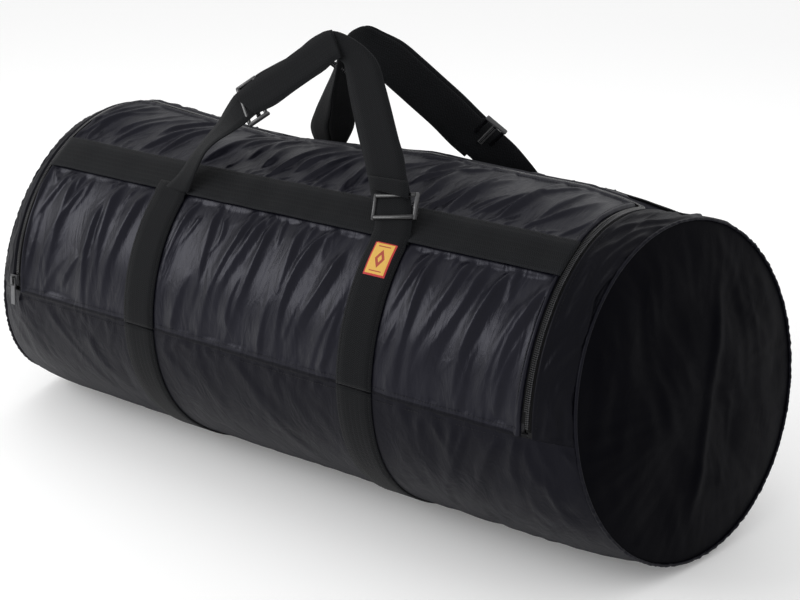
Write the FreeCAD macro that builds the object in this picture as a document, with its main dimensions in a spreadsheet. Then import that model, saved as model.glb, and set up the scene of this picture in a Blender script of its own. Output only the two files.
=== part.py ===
# Soft barrel bag: a flat-based nylon cylinder whose front and top form one zipped lid flap.
# Origin on the floor under the middle. X runs along the barrel, -Y is the front, Z is up.
import math
import os

import FreeCAD
import Part
import Sketcher

doc = FreeCAD.newDocument("carry_case")

# Every size in millimetres, and every angle in degrees up from the front seam.
SIZES = [
    ("axis_height", 204.0),
    ("shell_outer", 215.0),
    ("shell_inner", 213.4),
    ("tape_outer", 213.3),
    ("tape_inner", 211.9),
    ("foam_outer", 211.8),
    ("foam_inner", 205.0),
    ("lining_outer", 204.9),
    ("lining_inner", 204.0),
    ("chain_inner", 213.3),
    ("chain_outer", 216.0),
    ("strap_inner", 215.1),
    ("strap_outer", 217.3),
    ("crossing_inner", 217.5),
    ("crossing_outer", 219.7),
    ("label_inner", 217.4),
    ("label_outer", 218.4),
    ("shell_floor", 0.0),
    ("shell_floor_top", 1.6),
    ("foam_floor", 1.7),
    ("foam_floor_top", 8.5),
    ("lining_floor", 8.6),
    ("lining_floor_top", 9.5),
    ("end_start", 412.0),
    ("end_centre", 484.0),
    ("end_radius", 196.0),
    ("end_turn", 11.3),
    ("end_tip", 9.4),
    ("end_crown", 14.0),
    ("end_sweep", 240.0),
    ("end_reach", 560.0),
    ("panel_thickness", 1.6),
    ("panel_start", 0.1),
    ("binding_inner", 196.1),
    ("binding_outer", 198.6),
    ("binding_width", 2.5),
    ("foam_inset", 8.5),
    ("end_foam_radius", 192.8),
    ("end_foam_gap", 0.2),
    ("end_foam_thickness", 7.6),
    ("chain_gap", 0.15),
    ("chain_width", 2.6),
    ("zip_leg_x", 400.0),
    ("tape_reach", 11.0),
    ("nylon_setback", 8.0),
    ("foam_setback", 7.0),
    ("webbing_width", 50.0),
    ("webbing_thickness", 2.4),
    ("doubled_thickness", 4.8),
    ("strap_x", 170.0),
    ("strap_slot_margin", 0.3),
    ("strap_floor_reach", 70.0),
    ("strap_floor_top", 1.5),
    ("seam_gap_angle", 0.05),
    ("back_gap_angle", 0.03),
    ("zip_top_angle", 99.0),
    ("band_start_angle", 47.8),
    ("band_end_angle", 61.1),
    ("strap_end_angle", 49.6),
    ("label_start_angle", 35.0),
    ("label_end_angle", 46.4),
    ("label_width", 30.0),
    ("crossing_rise_angle", 1.2),
    ("crossing_gap_angle", 0.3),
    ("zip_stop_start", 0.2),
    ("zip_stop_end", 5.0),
    ("zip_stop_low_angle", 0.25),
    ("zip_stop_high_angle", 1.9),
    ("handle_root_radius", 221.5),
    ("handle_root_angle", 50.0),
    ("handle_lean", 29.2),
    ("adjuster_length", 32.0),
    ("adjuster_rail", 4.0),
    ("adjuster_bar", 6.0),
    ("adjuster_bar_thickness", 2.4),
    ("adjuster_clearance", 0.4),
    ("adjuster_side_clearance", 0.6),
    ("adjuster_overlap", 1.0),
    ("slider_half_width", 6.0),
    ("slider_half_length", 7.0),
    ("slider_plate_low", 0.5),
    ("slider_plate_high", 2.3),
    ("slider_wall_low", -2.0),
    ("slider_wall_inner", 4.6),
    ("bridge_half_width", 1.6),
    ("bridge_half_length", 5.5),
    ("bridge_inner_length", 3.9),
    ("bridge_foot", 2.2),
    ("bridge_under", 5.2),
    ("bridge_top", 6.6),
    ("pull_bar_y", 2.0),
    ("pull_bar_z", 3.75),
    ("pull_half_thickness", 0.8),
    ("pull_half_width", 4.6),
    ("pull_eye_half_width", 2.4),
    ("pull_eye_foot", -6.4),
    ("pull_eye_margin", 1.0),
    ("pull_ring_foot", -8.6),
    ("pull_tab_half_width", 3.6),
    ("pull_tab_foot", -34.0),
    ("pull_tab_top", -8.0),
]

sizes = doc.addObject("Spreadsheet::Sheet", "sizes")
for row, (alias, value) in enumerate(SIZES, start=1):
    sizes.set("A%d" % row, alias)
    sizes.set("B%d" % row, str(value))
    sizes.setAlias("B%d" % row, alias)
doc.recompute()
value_of = dict(SIZES)

AXIS_Z = value_of["axis_height"]
DEGREES_PER_MM = math.degrees(1.0 / value_of["shell_outer"])
CUTTER_MARGIN = 2.0
SLAB_MARGIN = 20.0
SLAB_DEPTH = 60.0
nodes = []


def evaluate(text):
    """Value of an expression written in the names of the sheet's cells."""
    words = text.replace("sizes.", "").split()
    total = 0.0
    sign = 1.0
    for word in words:
        if word == "+":
            sign = 1.0
        elif word == "-":
            sign = -1.0
        else:
            total += sign * (value_of[word] if word in value_of else float(word))
            sign = 1.0
    return total


def bind(item, prop, text):
    item.setExpression(prop, text)


def finish_node(item, label):
    item.Label = label
    nodes.append((label, item))
    return item


def turned_placement(x_high, start_angle):
    """Places a cylinder's sweep so that it starts at an angle above the front seam."""
    c = math.cos(math.radians(start_angle))
    s = math.sin(math.radians(start_angle))
    return FreeCAD.Placement(FreeCAD.Matrix(0, 0, -1, x_high, -c, s, 0, 0, s, c, 0, AXIS_Z, 0, 0, 0, 1))


def cylinder(name, radius, x_low, x_high, start_angle=0.0, sweep=360.0, margin=0.0):
    item = doc.addObject("Part::Cylinder", name)
    bind(item, "Radius", radius)
    bind(item, "Height", "(%s) - (%s) + %g" % (x_high, x_low, 2 * margin))
    item.Angle = sweep
    item.Placement = turned_placement(evaluate(x_high) + margin, start_angle)
    return item


def cut(name, base, tool):
    item = doc.addObject("Part::Cut", name)
    item.Base = base
    item.Tool = tool
    return item


def fuse(name, items):
    item = doc.addObject("Part::MultiFuse", name)
    item.Shapes = items
    item.Refine = True
    return item


def box(name, low, high):
    item = doc.addObject("Part::Box", name)
    item.Length = high[0] - low[0]
    item.Width = high[1] - low[1]
    item.Height = high[2] - low[2]
    item.Placement = FreeCAD.Placement(FreeCAD.Vector(*low), FreeCAD.Rotation())
    return item


def below_floor(name, floor):
    """Slab under a floor height, long and wide enough to flatten any layer of the barrel."""
    reach = value_of["end_reach"] + SLAB_MARGIN
    side = value_of["crossing_outer"] + SLAB_MARGIN
    slab = box(name, (-reach, -side, 0.0), (reach, side, SLAB_DEPTH))
    bind(slab, "Placement.Base.z", "%s - %g" % (floor, SLAB_DEPTH))
    return slab


def sector(name, inner, outer, x_low, x_high, start_angle, end_angle):
    """Curved sheet between two radii, from one angle to another."""
    solid = cylinder(name + "_outer", outer, x_low, x_high, start_angle, end_angle - start_angle)
    core = cylinder(name + "_inner", inner, x_low, x_high, margin=CUTTER_MARGIN)
    return cut(name + "_sheet", solid, core)


# Each end leans: the gathered lid pulls its front and top in, so its rim is a tilted, smaller ring.
LEAN_IN_AT_FRONT = math.tan(math.radians(value_of["end_turn"]))
LEAN_IN_AT_TOP = math.tan(math.radians(value_of["end_tip"]))


def facing_frame(out, origin):
    """Frame whose local Z is the direction out and whose local X is nearest to the front seam."""
    out.normalize()
    front = FreeCAD.Vector(0, -1, 0)
    first = front - out * out.dot(front)
    first.normalize()
    second = out.cross(first)
    return FreeCAD.Placement(FreeCAD.Matrix(first.x, second.x, out.x, origin.x,
                                            first.y, second.y, out.y, origin.y,
                                            first.z, second.z, out.z, origin.z, 0, 0, 0, 1))


def barrel_frame(sign):
    """Frame where the round barrel begins to narrow towards an end; sign is -1 at the left."""
    return facing_frame(FreeCAD.Vector(sign, 0, 0), FreeCAD.Vector(sign * value_of["end_start"], 0, AXIS_Z))


def rim_frame(sign, outward=0.0):
    """Frame on an end's leaning rim, with local Z out of the bag."""
    out = FreeCAD.Vector(sign, -LEAN_IN_AT_FRONT, LEAN_IN_AT_TOP)
    out.normalize()
    return facing_frame(out, FreeCAD.Vector(sign * value_of["end_centre"], 0, AXIS_Z) + out * outward)


def ring(name, radius, placement):
    item = doc.addObject("Part::Circle", name)
    bind(item, "Radius", radius)
    item.Placement = placement
    return item


def narrowing(name, radius, sign, inset):
    """Solid end of one layer, from the barrel's round to the leaning rim or to a plane inside it."""
    near = ring(name + "_near", radius, barrel_frame(sign))
    rim = ring(name + "_rim", "sizes.end_radius + %s - sizes.shell_outer" % radius, rim_frame(sign, -inset))
    item = doc.addObject("Part::Loft", name)
    item.Sections = [near, rim]
    item.Solid = True
    item.Ruled = True
    return item


def long_form(name, radius, inset):
    """Everything inside one radius, from rim to rim."""
    middle = cylinder(name + "_middle", radius, "0 - sizes.end_start", "sizes.end_start")
    item = doc.addObject("Part::MultiFuse", name)
    item.Shapes = [middle, narrowing(name + "_left", radius, -1, inset),
                   narrowing(name + "_right", radius, 1, inset)]
    return item


def layer(name, inner, outer, inset=0.0, floor=None, floor_top=None):
    """Closed sleeve of one material, flat where the bag sits on the floor."""
    body = long_form(name + "_body", outer, inset)
    core = long_form(name + "_core", inner, inset)
    if floor:
        body = cut(name + "_raised", body, below_floor(name + "_under", floor))
        core = cut(name + "_hollow", core, below_floor(name + "_over", floor_top))
    return cut(name + "_sleeve", body, core)


def patch(name, sleeve, x_low, x_high, start_angle, end_angle):
    """Part of a sleeve between two angles and two places along the bag."""
    item = doc.addObject("Part::Common", name + "_patch")
    item.Base = sleeve
    item.Tool = cylinder(name + "_wedge", "sizes.end_sweep", x_low, x_high, start_angle,
                         end_angle - start_angle)
    return item


def rim_disc(name, radius, sign, low, high):
    """Round block on a leaning rim, between two distances outward from it."""
    item = doc.addObject("Part::Cylinder", name)
    bind(item, "Radius", radius)
    item.Height = high - low
    item.Placement = rim_frame(sign, low)
    return item


def crowned(name, radius, sign, top, thickness):
    """Round sheet over an end, domed outward; top is its outer face's height over the panel's inner face."""
    reach = value_of["end_radius"]
    crown = value_of["end_crown"]
    dome = (reach * reach + crown * crown) / (2 * crown)
    beyond = reach / 3
    centre = rim_frame(sign, value_of["panel_start"] + crown - dome)
    balls = []
    for label, size in (("outside", dome + top), ("inside", dome + top - thickness)):
        ball = doc.addObject("Part::Sphere", "%s_%s" % (name, label))
        ball.Radius = size
        ball.Placement = centre
        balls.append(ball)
    item = doc.addObject("Part::Common", name + "_dome")
    item.Base = cut(name + "_skin", balls[0], balls[1])
    item.Tool = rim_disc(name + "_round", radius, sign, -beyond, beyond)
    return item


def arc_angle(length):
    return length * DEGREES_PER_MM


# Main angles of the layout.
zip_top = value_of["zip_top_angle"]
seam_gap = value_of["seam_gap_angle"]
setback = value_of["nylon_setback"]
leg = "sizes.zip_leg_x"
lid_edge = arc_angle(setback)
FRONT_LOW = 0.0
BACK_LEVEL = 180.0
FULL_TURN = 360.0
SEAM_ABOVE = FRONT_LOW + seam_gap
SEAM_BELOW = FRONT_LOW - seam_gap
BACK_GAP = value_of["back_gap_angle"]
LID_END = "%s - %g" % (leg, setback)
GUSSET_START = "%s + %g" % (leg, setback)
LID_FOAM_END = "%s - %g" % (leg, value_of["foam_setback"])
GUSSET_FOAM_START = "%s + %g" % (leg, value_of["foam_setback"])


def negative(text):
    """Mirror of an X position written as one or two cells."""
    flip = {"+": "-", "-": "+"}
    words = text.split()
    return " ".join(["0 -", words[0]] + [flip.get(word, word) for word in words[1:]])


def sides(x_low, x_high):
    """The same X range at the left end and at the right end."""
    return [("left", negative(x_high), negative(x_low)), ("right", x_low, x_high)]


# Underside of the bag: the smooth lower panel from the front seam round to the back seam.
under_start = BACK_LEVEL - FULL_TURN + BACK_GAP
REACH = "sizes.end_reach"
LEFT_REACH = "0 - sizes.end_reach"
inset = value_of["foam_inset"]
nylon = layer("nylon", "sizes.shell_inner", "sizes.shell_outer", 0.0, "sizes.shell_floor",
              "sizes.shell_floor_top")
foam = layer("foam", "sizes.foam_inner", "sizes.foam_outer", inset, "sizes.foam_floor",
             "sizes.foam_floor_top")
lining = layer("lining", "sizes.lining_inner", "sizes.lining_outer", inset, "sizes.lining_floor",
               "sizes.lining_floor_top")
band = layer("band", "sizes.strap_inner", "sizes.strap_outer")
bottom = patch("bottom_shell", nylon, LEFT_REACH, REACH, under_start, SEAM_BELOW)
SLOT_MARGIN = 0.05
half_web = value_of["webbing_width"] / 2
slot_half = half_web + value_of["strap_slot_margin"]
slot_reach = value_of["strap_floor_reach"] + value_of["strap_slot_margin"]
slots = []
for side, sign in (("left", -1), ("right", 1)):
    centre = sign * value_of["strap_x"]
    low = (centre - slot_half, -slot_reach, -CUTTER_MARGIN)
    high = (centre + slot_half, slot_reach, value_of["shell_floor_top"] + SLOT_MARGIN)
    slots.append(box("strap_slot_" + side, low, high))
slot_pair = doc.addObject("Part::MultiFuse", "strap_slots")
slot_pair.Shapes = slots
finish_node(cut("bottom_shell_slotted", bottom, slot_pair), "bottom_shell")

finish_node(patch("bottom_foam", foam, LEFT_REACH, REACH, under_start, SEAM_BELOW), "bottom_foam")
finish_node(patch("bottom_lining", lining, LEFT_REACH, REACH, under_start, SEAM_BELOW), "bottom_lining")

# Back of the bag, from the top zip down to the back seam.
rear_edge = zip_top + lid_edge
foam_top = zip_top + arc_angle(value_of["foam_setback"])
rear_end = BACK_LEVEL - BACK_GAP
finish_node(patch("rear_panel", nylon, LEFT_REACH, REACH, rear_edge, rear_end), "rear_panel")
finish_node(patch("rear_foam", foam, LEFT_REACH, REACH, foam_top, rear_end), "rear_foam")
finish_node(patch("rear_lining", lining, LEFT_REACH, REACH, foam_top, rear_end), "rear_lining")

# End gussets between the zip legs and the round ends.
for side, low, high in sides(GUSSET_START, REACH):
    name = "gusset_" + side
    finish_node(patch(name, nylon, low, high, SEAM_ABOVE, rear_edge - BACK_GAP), name)
for side, low, high in sides(GUSSET_FOAM_START, REACH):
    name = "gusset_foam_" + side
    finish_node(patch(name, foam, low, high, SEAM_ABOVE, foam_top - BACK_GAP), name)

# Round ends: a domed panel, its padding, and the raised ridge of folded seam round it.
panel_thickness = value_of["panel_thickness"]
foam_thickness = value_of["end_foam_thickness"]
panel_start = value_of["panel_start"]
for side, sign in (("left", -1), ("right", 1)):
    name = "end_panel_" + side
    finish_node(crowned(name, "sizes.end_radius", sign, panel_thickness, panel_thickness), name)
    name = "end_foam_" + side
    finish_node(crowned(name, "sizes.end_foam_radius", sign, -value_of["end_foam_gap"], foam_thickness), name)
    name = "end_binding_" + side
    ridge_end = panel_start + value_of["binding_width"]
    outside = rim_disc(name + "_outer", "sizes.binding_outer", sign, panel_start, ridge_end)
    inside = rim_disc(name + "_inner", "sizes.binding_inner", sign, panel_start - CUTTER_MARGIN,
                      ridge_end + CUTTER_MARGIN)
    finish_node(cut(name + "_ring", outside, inside), name)

# Lid flap: front and top of the bag between the zip legs.
lid_low = negative(LID_END)
finish_node(sector("lid_panel", "sizes.shell_inner", "sizes.shell_outer", lid_low, LID_END,
                   SEAM_ABOVE, zip_top - lid_edge), "lid_panel")
lid_foam_low = negative(LID_FOAM_END)
lid_foam_top = zip_top - arc_angle(value_of["foam_setback"])
finish_node(sector("lid_foam", "sizes.foam_inner", "sizes.foam_outer", lid_foam_low, LID_FOAM_END,
                   SEAM_ABOVE, lid_foam_top), "lid_foam")
finish_node(sector("lid_lining", "sizes.lining_inner", "sizes.lining_outer", lid_foam_low, LID_FOAM_END,
                   SEAM_ABOVE, lid_foam_top), "lid_lining")

# The zip: a tape and a toothed edge on the lid, the same on the body, up both ends and along the top.
BODY_ZIP_FOOT = 2.0
LID_ZIP_FOOT = 6.6
gap = value_of["chain_gap"]
chain = value_of["chain_width"]
tape = value_of["tape_reach"]


def zip_run(name, inner, outer, near, far, outward):
    """Three runs of one zip edge; outward is +1 on the body's side and -1 on the lid's side."""
    near_x = "%s %s %g" % (leg, "+" if outward > 0 else "-", near)
    far_x = "%s %s %g" % (leg, "+" if outward > 0 else "-", far)
    low, high = (near_x, far_x) if outward > 0 else (far_x, near_x)
    top_near = zip_top + outward * arc_angle(near)
    top_far = zip_top + outward * arc_angle(far)
    top_low, top_high = min(top_near, top_far), max(top_near, top_far)
    foot = BODY_ZIP_FOOT if outward > 0 else LID_ZIP_FOOT
    parts = []
    for side, x_low, x_high in sides(low, high):
        parts.append(sector("%s_%s" % (name, side), inner, outer, x_low, x_high, foot, top_high))
    parts.append(sector(name + "_top", inner, outer, negative(high), high, top_low, top_high))
    return fuse(name + "_run", parts)


finish_node(zip_run("body_zip_tape", "sizes.tape_inner", "sizes.tape_outer", gap, tape, 1), "body_zip_tape")
finish_node(zip_run("lid_zip_tape", "sizes.tape_inner", "sizes.tape_outer", gap, tape, -1), "lid_zip_tape")
finish_node(zip_run("body_zip_teeth", "sizes.chain_inner", "sizes.chain_outer", gap, gap + chain, 1),
            "body_zip_teeth")
finish_node(zip_run("lid_zip_teeth", "sizes.chain_inner", "sizes.chain_outer", gap, gap + chain, -1),
            "lid_zip_teeth")

# Webbing bands along the bag and straps round it.
finish_node(sector("front_band", "sizes.strap_inner", "sizes.strap_outer", lid_low, LID_END,
                   value_of["band_start_angle"], value_of["band_end_angle"]), "front_band")
finish_node(patch("rear_band", band, LEFT_REACH, REACH, BACK_LEVEL - value_of["band_end_angle"],
                  BACK_LEVEL - value_of["band_start_angle"]), "rear_band")

CROSSING_START = value_of["band_start_angle"] - value_of["crossing_rise_angle"]
CROSSING_MEET = value_of["band_start_angle"] - value_of["crossing_gap_angle"]
strap_end = value_of["strap_end_angle"]
STRAP_HALF = "%g" % half_web
for side, sign in (("left", -1), ("right", 1)):
    centre = "sizes.strap_x" if sign > 0 else "0 - sizes.strap_x"
    low = "%s - %s" % (centre, STRAP_HALF)
    high = "%s + %s" % (centre, STRAP_HALF)
    name = "lid_strap_" + side
    lower = sector(name + "_lower", "sizes.strap_inner", "sizes.strap_outer", low, high,
                   SEAM_ABOVE, CROSSING_MEET)
    step = sector(name + "_step", "sizes.strap_inner", "sizes.crossing_outer", low, high,
                  CROSSING_START, CROSSING_MEET)
    upper = sector(name + "_upper", "sizes.crossing_inner", "sizes.crossing_outer", low, high,
                   CROSSING_START, strap_end)
    finish_node(fuse(name + "_all", [lower, step, upper]), name)

    name = "girth_strap_" + side
    around = sector(name + "_around", "sizes.strap_inner", "sizes.strap_outer", low, high,
                    BACK_LEVEL - FULL_TURN - CROSSING_MEET, SEAM_BELOW)
    raised = cut(name + "_raised", around, below_floor(name + "_under", "sizes.shell_floor"))
    middle = sign * value_of["strap_x"]
    flat = box(name + "_flat", (middle - half_web, -value_of["strap_floor_reach"], 0.0),
               (middle + half_web, value_of["strap_floor_reach"], value_of["strap_floor_top"]))
    back_step = sector(name + "_step", "sizes.strap_inner", "sizes.crossing_outer", low, high,
                       BACK_LEVEL - CROSSING_MEET, BACK_LEVEL - CROSSING_START)
    back_upper = sector(name + "_upper", "sizes.crossing_inner", "sizes.crossing_outer", low, high,
                        BACK_LEVEL - strap_end, BACK_LEVEL - CROSSING_START)
    finish_node(fuse(name + "_all", [raised, flat, back_step, back_upper]), name)

label_half = "%g" % (value_of["label_width"] / 2)
finish_node(sector("label_patch", "sizes.label_inner", "sizes.label_outer", "sizes.strap_x - " + label_half,
                   "sizes.strap_x + " + label_half, value_of["label_start_angle"],
                   value_of["label_end_angle"]), "label_patch")

# Small stitched stops at the foot of each zip leg.
for side, low, high in sides(leg + " + sizes.zip_stop_start", leg + " + sizes.zip_stop_end"):
    name = "zip_stop_" + side
    finish_node(sector(name, "sizes.tape_inner", "sizes.shell_outer", low, high,
                       value_of["zip_stop_low_angle"], value_of["zip_stop_high_angle"]), name)


# Handles: flat webbing that stands up from the two straps, one at the front and one at the back.
lean = math.radians(value_of["handle_lean"])
root_angle = math.radians(value_of["handle_root_angle"])
root_y = value_of["handle_root_radius"] * math.cos(root_angle)
root_z = AXIS_Z + value_of["handle_root_radius"] * math.sin(root_angle)


def handle_placement(front):
    """Frame of a handle: local X along the bag, local Y up the handle."""
    sign = -1.0 if front else 1.0
    up = FreeCAD.Vector(0, -sign * math.sin(lean), math.cos(lean))
    normal = FreeCAD.Vector(1, 0, 0).cross(up)
    matrix = FreeCAD.Matrix(1, up.x, normal.x, 0, 0, up.y, normal.y, sign * root_y,
                            0, up.z, normal.z, root_z, 0, 0, 0, 1)
    return FreeCAD.Placement(matrix)


def unit(start, end):
    dx = end[0] - start[0]
    dy = end[1] - start[1]
    length = math.hypot(dx, dy)
    return dx / length, dy / length


def ribbon(points, width):
    """Outline of a flat strap along a line of points, with mitred bends."""
    left = []
    right = []
    for index, point in enumerate(points):
        before = unit(points[index - 1], point) if index else unit(point, points[index + 1])
        after = unit(point, points[index + 1]) if index + 1 < len(points) else before
        mx, my = before[0] + after[0], before[1] + after[1]
        size = math.hypot(mx, my)
        mx, my = mx / size, my / size
        reach = width / 2 / (mx * before[0] + my * before[1])
        left.append((point[0] - my * reach, point[1] + mx * reach))
        right.append((point[0] + my * reach, point[1] - mx * reach))
    return left + right[::-1]


def clip(outline, limit, keep_below):
    """Cuts an outline off level at a height, as a folded peak or a sewn foot does."""
    kept = []
    for index, point in enumerate(outline):
        previous = outline[index - 1]
        inside = (point[1] <= limit) == keep_below
        was_inside = (previous[1] <= limit) == keep_below
        if inside != was_inside:
            t = (limit - previous[1]) / (point[1] - previous[1])
            kept.append((previous[0] + t * (point[0] - previous[0]), limit))
        if inside:
            kept.append(point)
    return kept


def flat_strap(label, outline, thickness, placement):
    """A body with one padded outline, centred on the handle's own plane."""
    body = doc.addObject("PartDesign::Body", label + "_body")
    sketch = body.newObject("Sketcher::SketchObject", label + "_outline")
    plane = [item for item in body.Origin.OriginFeatures if item.Role == "XY_Plane"][0]
    sketch.AttachmentSupport = [(plane, "")]
    sketch.MapMode = "FlatFace"
    count = len(outline)
    for index in range(count):
        start = FreeCAD.Vector(outline[index][0], outline[index][1], 0)
        end = FreeCAD.Vector(outline[(index + 1) % count][0], outline[(index + 1) % count][1], 0)
        sketch.addGeometry(Part.LineSegment(start, end), False)
    for index in range(count):
        sketch.addConstraint(Sketcher.Constraint("Coincident", index, 2, (index + 1) % count, 1))
    doc.recompute()
    pad = body.newObject("PartDesign::Pad", label + "_pad")
    pad.Profile = sketch
    bind(pad, "Length", thickness)
    body.Tip = pad
    half = evaluate(thickness) / 2
    body.Placement = placement.multiply(FreeCAD.Placement(FreeCAD.Vector(0, 0, -half), FreeCAD.Rotation()))
    return finish_node(body, label)


def adjuster(label, placement, centre, direction, outward):
    """Three-bar slide: the outer bars lie over the webbing and the middle bar behind it."""
    angle = math.degrees(math.atan2(direction[1], direction[0])) - 90.0
    local = FreeCAD.Placement(FreeCAD.Vector(centre[0], centre[1], 0),
                              FreeCAD.Rotation(FreeCAD.Vector(0, 0, 1), angle))
    frame = placement.multiply(local)
    inner = value_of["webbing_width"] / 2 + value_of["adjuster_side_clearance"]
    end = inner + value_of["adjuster_overlap"]
    outer = inner + value_of["adjuster_rail"]
    half = value_of["adjuster_length"] / 2
    face = value_of["webbing_thickness"] / 2 + value_of["adjuster_clearance"]
    back = face + value_of["adjuster_bar_thickness"]
    bar = value_of["adjuster_bar"]
    blocks = [
        ((-outer, -half, -back), (-inner, half, back)),
        ((inner, -half, -back), (outer, half, back)),
        ((-end, -half, outward * face), (end, -half + bar, outward * back)),
        ((-end, half - bar, outward * face), (end, half, outward * back)),
        ((-end, -bar / 2, -outward * face), (end, bar / 2, -outward * back)),
    ]
    pieces = []
    for index, (a, b) in enumerate(blocks):
        low = [min(a[k], b[k]) for k in range(3)]
        high = [max(a[k], b[k]) for k in range(3)]
        piece = box("%s_bar_%d" % (label, index), low, high)
        piece.Placement = frame.multiply(piece.Placement)
        pieces.append(piece)
    return finish_node(fuse(label + "_frame", pieces), label)


def along(start, end, distance):
    dx, dy = unit(start, end)
    return start[0] + dx * distance, start[1] + dy * distance


# Paths are (along the bag, up the handle) from the line the handle folds on.
# An adjuster's place is the run of its path that it slides on, and how far along that run it rests.
HANDLES = {
    "front": {"front": True, "outward": 1,
              "left": [(-166.0, 2.0), (-100.0, 108.0)], "right": [(170.0, 2.0), (158.0, 64.0)],
              "peak": (17.0, 210.0), "cap": 228.0,
              "left_adjuster": (1, 20.0), "right_adjuster": (0, 26.0)},
    "rear": {"front": False, "outward": -1,
             "left": [(-165.0, 2.0), (-135.0, 50.0)], "right": [(180.0, 2.0), (150.0, 52.0)],
             "peak": (0.0, 203.0), "cap": 222.0,
             "left_adjuster": (1, 118.0), "right_adjuster": (1, 20.0)},
}
GRIP_REACH = 66.0
HANDLE_FOOT = 2.0
web = value_of["webbing_width"]
for name, plan in HANDLES.items():
    placement = handle_placement(plan["front"])
    grip_ends = {}
    for side in ("left", "right"):
        path = plan[side]
        top = along(plan["peak"], path[-1], GRIP_REACH)
        grip_ends[side] = top
        rise = unit(path[0], (path + [top])[1])
        foot = (path[0][0] - rise[0] * web, path[0][1] - rise[1] * web)
        outline = clip(ribbon([foot] + path[1:] + [top], web), HANDLE_FOOT, False)
        flat_strap("%s_leg_%s" % (name, side), outline, "sizes.webbing_thickness", placement)
        run, distance = plan[side + "_adjuster"]
        line = path + [plan["peak"]]
        adjuster("%s_adjuster_%s" % (name, side), placement, along(line[run], line[run + 1], distance),
                 unit(line[run], line[run + 1]), plan["outward"])
    outline = clip(ribbon([grip_ends["left"], plan["peak"], grip_ends["right"]], web), plan["cap"], True)
    flat_strap("%s_grip" % name, outline, "sizes.doubled_thickness", placement)

# Zip slider, parked at the foot of the left leg, and its pull tab.
SLIDER_ANGLE = 4.0


def tangent_placement(x, angle, radius):
    """Frame on the barrel: local X along the bag, local Y up round the barrel, local Z outward."""
    c = math.cos(math.radians(angle))
    s = math.sin(math.radians(angle))
    return FreeCAD.Placement(FreeCAD.Matrix(1, 0, 0, x, 0, s, -c, -c * radius,
                                            0, c, s, AXIS_Z + s * radius, 0, 0, 0, 1))


slider_frame = tangent_placement(-value_of["zip_leg_x"], SLIDER_ANGLE, value_of["chain_outer"])
wide = value_of["slider_half_width"]
long = value_of["slider_half_length"]
plate = value_of["slider_plate_high"]
wall_low = value_of["slider_wall_low"]
wall_in = value_of["slider_wall_inner"]
bridge_wide = value_of["bridge_half_width"]
bridge_long = value_of["bridge_half_length"]
bridge_in = value_of["bridge_inner_length"]
foot = value_of["bridge_foot"]
top = value_of["bridge_top"]
slider_blocks = [
    ((-wide, -long, value_of["slider_plate_low"]), (wide, long, plate)),
    ((-wide, -long, wall_low), (-wall_in, long, plate)),
    ((wall_in, -long, wall_low), (wide, long, plate)),
    ((-bridge_wide, -bridge_long, foot), (bridge_wide, -bridge_in, top)),
    ((-bridge_wide, bridge_in, foot), (bridge_wide, bridge_long, top)),
    ((-bridge_wide, -bridge_long, value_of["bridge_under"]), (bridge_wide, bridge_long, top)),
]
pieces = []
for index, (low, high) in enumerate(slider_blocks):
    piece = box("slider_block_%d" % index, low, high)
    piece.Placement = slider_frame.multiply(piece.Placement)
    pieces.append(piece)
finish_node(fuse("zip_slider_all", pieces), "zip_slider")

# The pull is a tab with a loop whose round bar turns under the slider's bridge.
bar_y = value_of["pull_bar_y"]
bar_z = value_of["pull_bar_z"]
thick = value_of["pull_half_thickness"]
wide = value_of["pull_half_width"]
eye = value_of["pull_eye_half_width"]
margin = value_of["pull_eye_margin"]
tab = value_of["pull_tab_half_width"]
pull_frame = box("pull_ring", (-wide, value_of["pull_ring_foot"], bar_z - thick),
                 (wide, bar_y, bar_z + thick))
pull_eye = box("pull_eye", (-eye, value_of["pull_eye_foot"], bar_z - thick - margin),
               (eye, bar_y + margin, bar_z + thick + margin))
pull_tab = box("pull_tab", (-tab, value_of["pull_tab_foot"], bar_z - thick),
               (tab, value_of["pull_tab_top"], bar_z + thick))
pull_bar = doc.addObject("Part::Cylinder", "pull_bar")
pull_bar.Radius = thick
pull_bar.Height = 2 * wide
pull_bar.Placement = FreeCAD.Placement(FreeCAD.Vector(-wide, bar_y, bar_z),
                                       FreeCAD.Rotation(FreeCAD.Vector(0, 1, 0), 90))
for piece in (pull_frame, pull_eye, pull_tab, pull_bar):
    piece.Placement = slider_frame.multiply(piece.Placement)
finish_node(fuse("zip_pull_all", [cut("pull_loop", pull_frame, pull_eye), pull_tab, pull_bar]), "zip_pull")

doc.recompute()
for item in doc.Objects:
    if "Invalid" in item.State or "Error" in item.State:
        raise RuntimeError("%s failed" % item.Name)
os.makedirs("parts", exist_ok=True)
for label, item in nodes:
    shape = item.Shape
    if shape.isNull() or not shape.isValid():
        raise RuntimeError("%s has no valid shape" % label)
    if len(shape.Solids) != 1:
        raise RuntimeError("%s is %d solids" % (label, len(shape.Solids)))
    shape.exportStep(os.path.join("parts", label + ".step"))
print("nodes", len(nodes))
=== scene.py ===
"""Looks of a soft barrel bag: crinkled nylon, webbing, zip, handles and padding."""

import math

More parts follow.
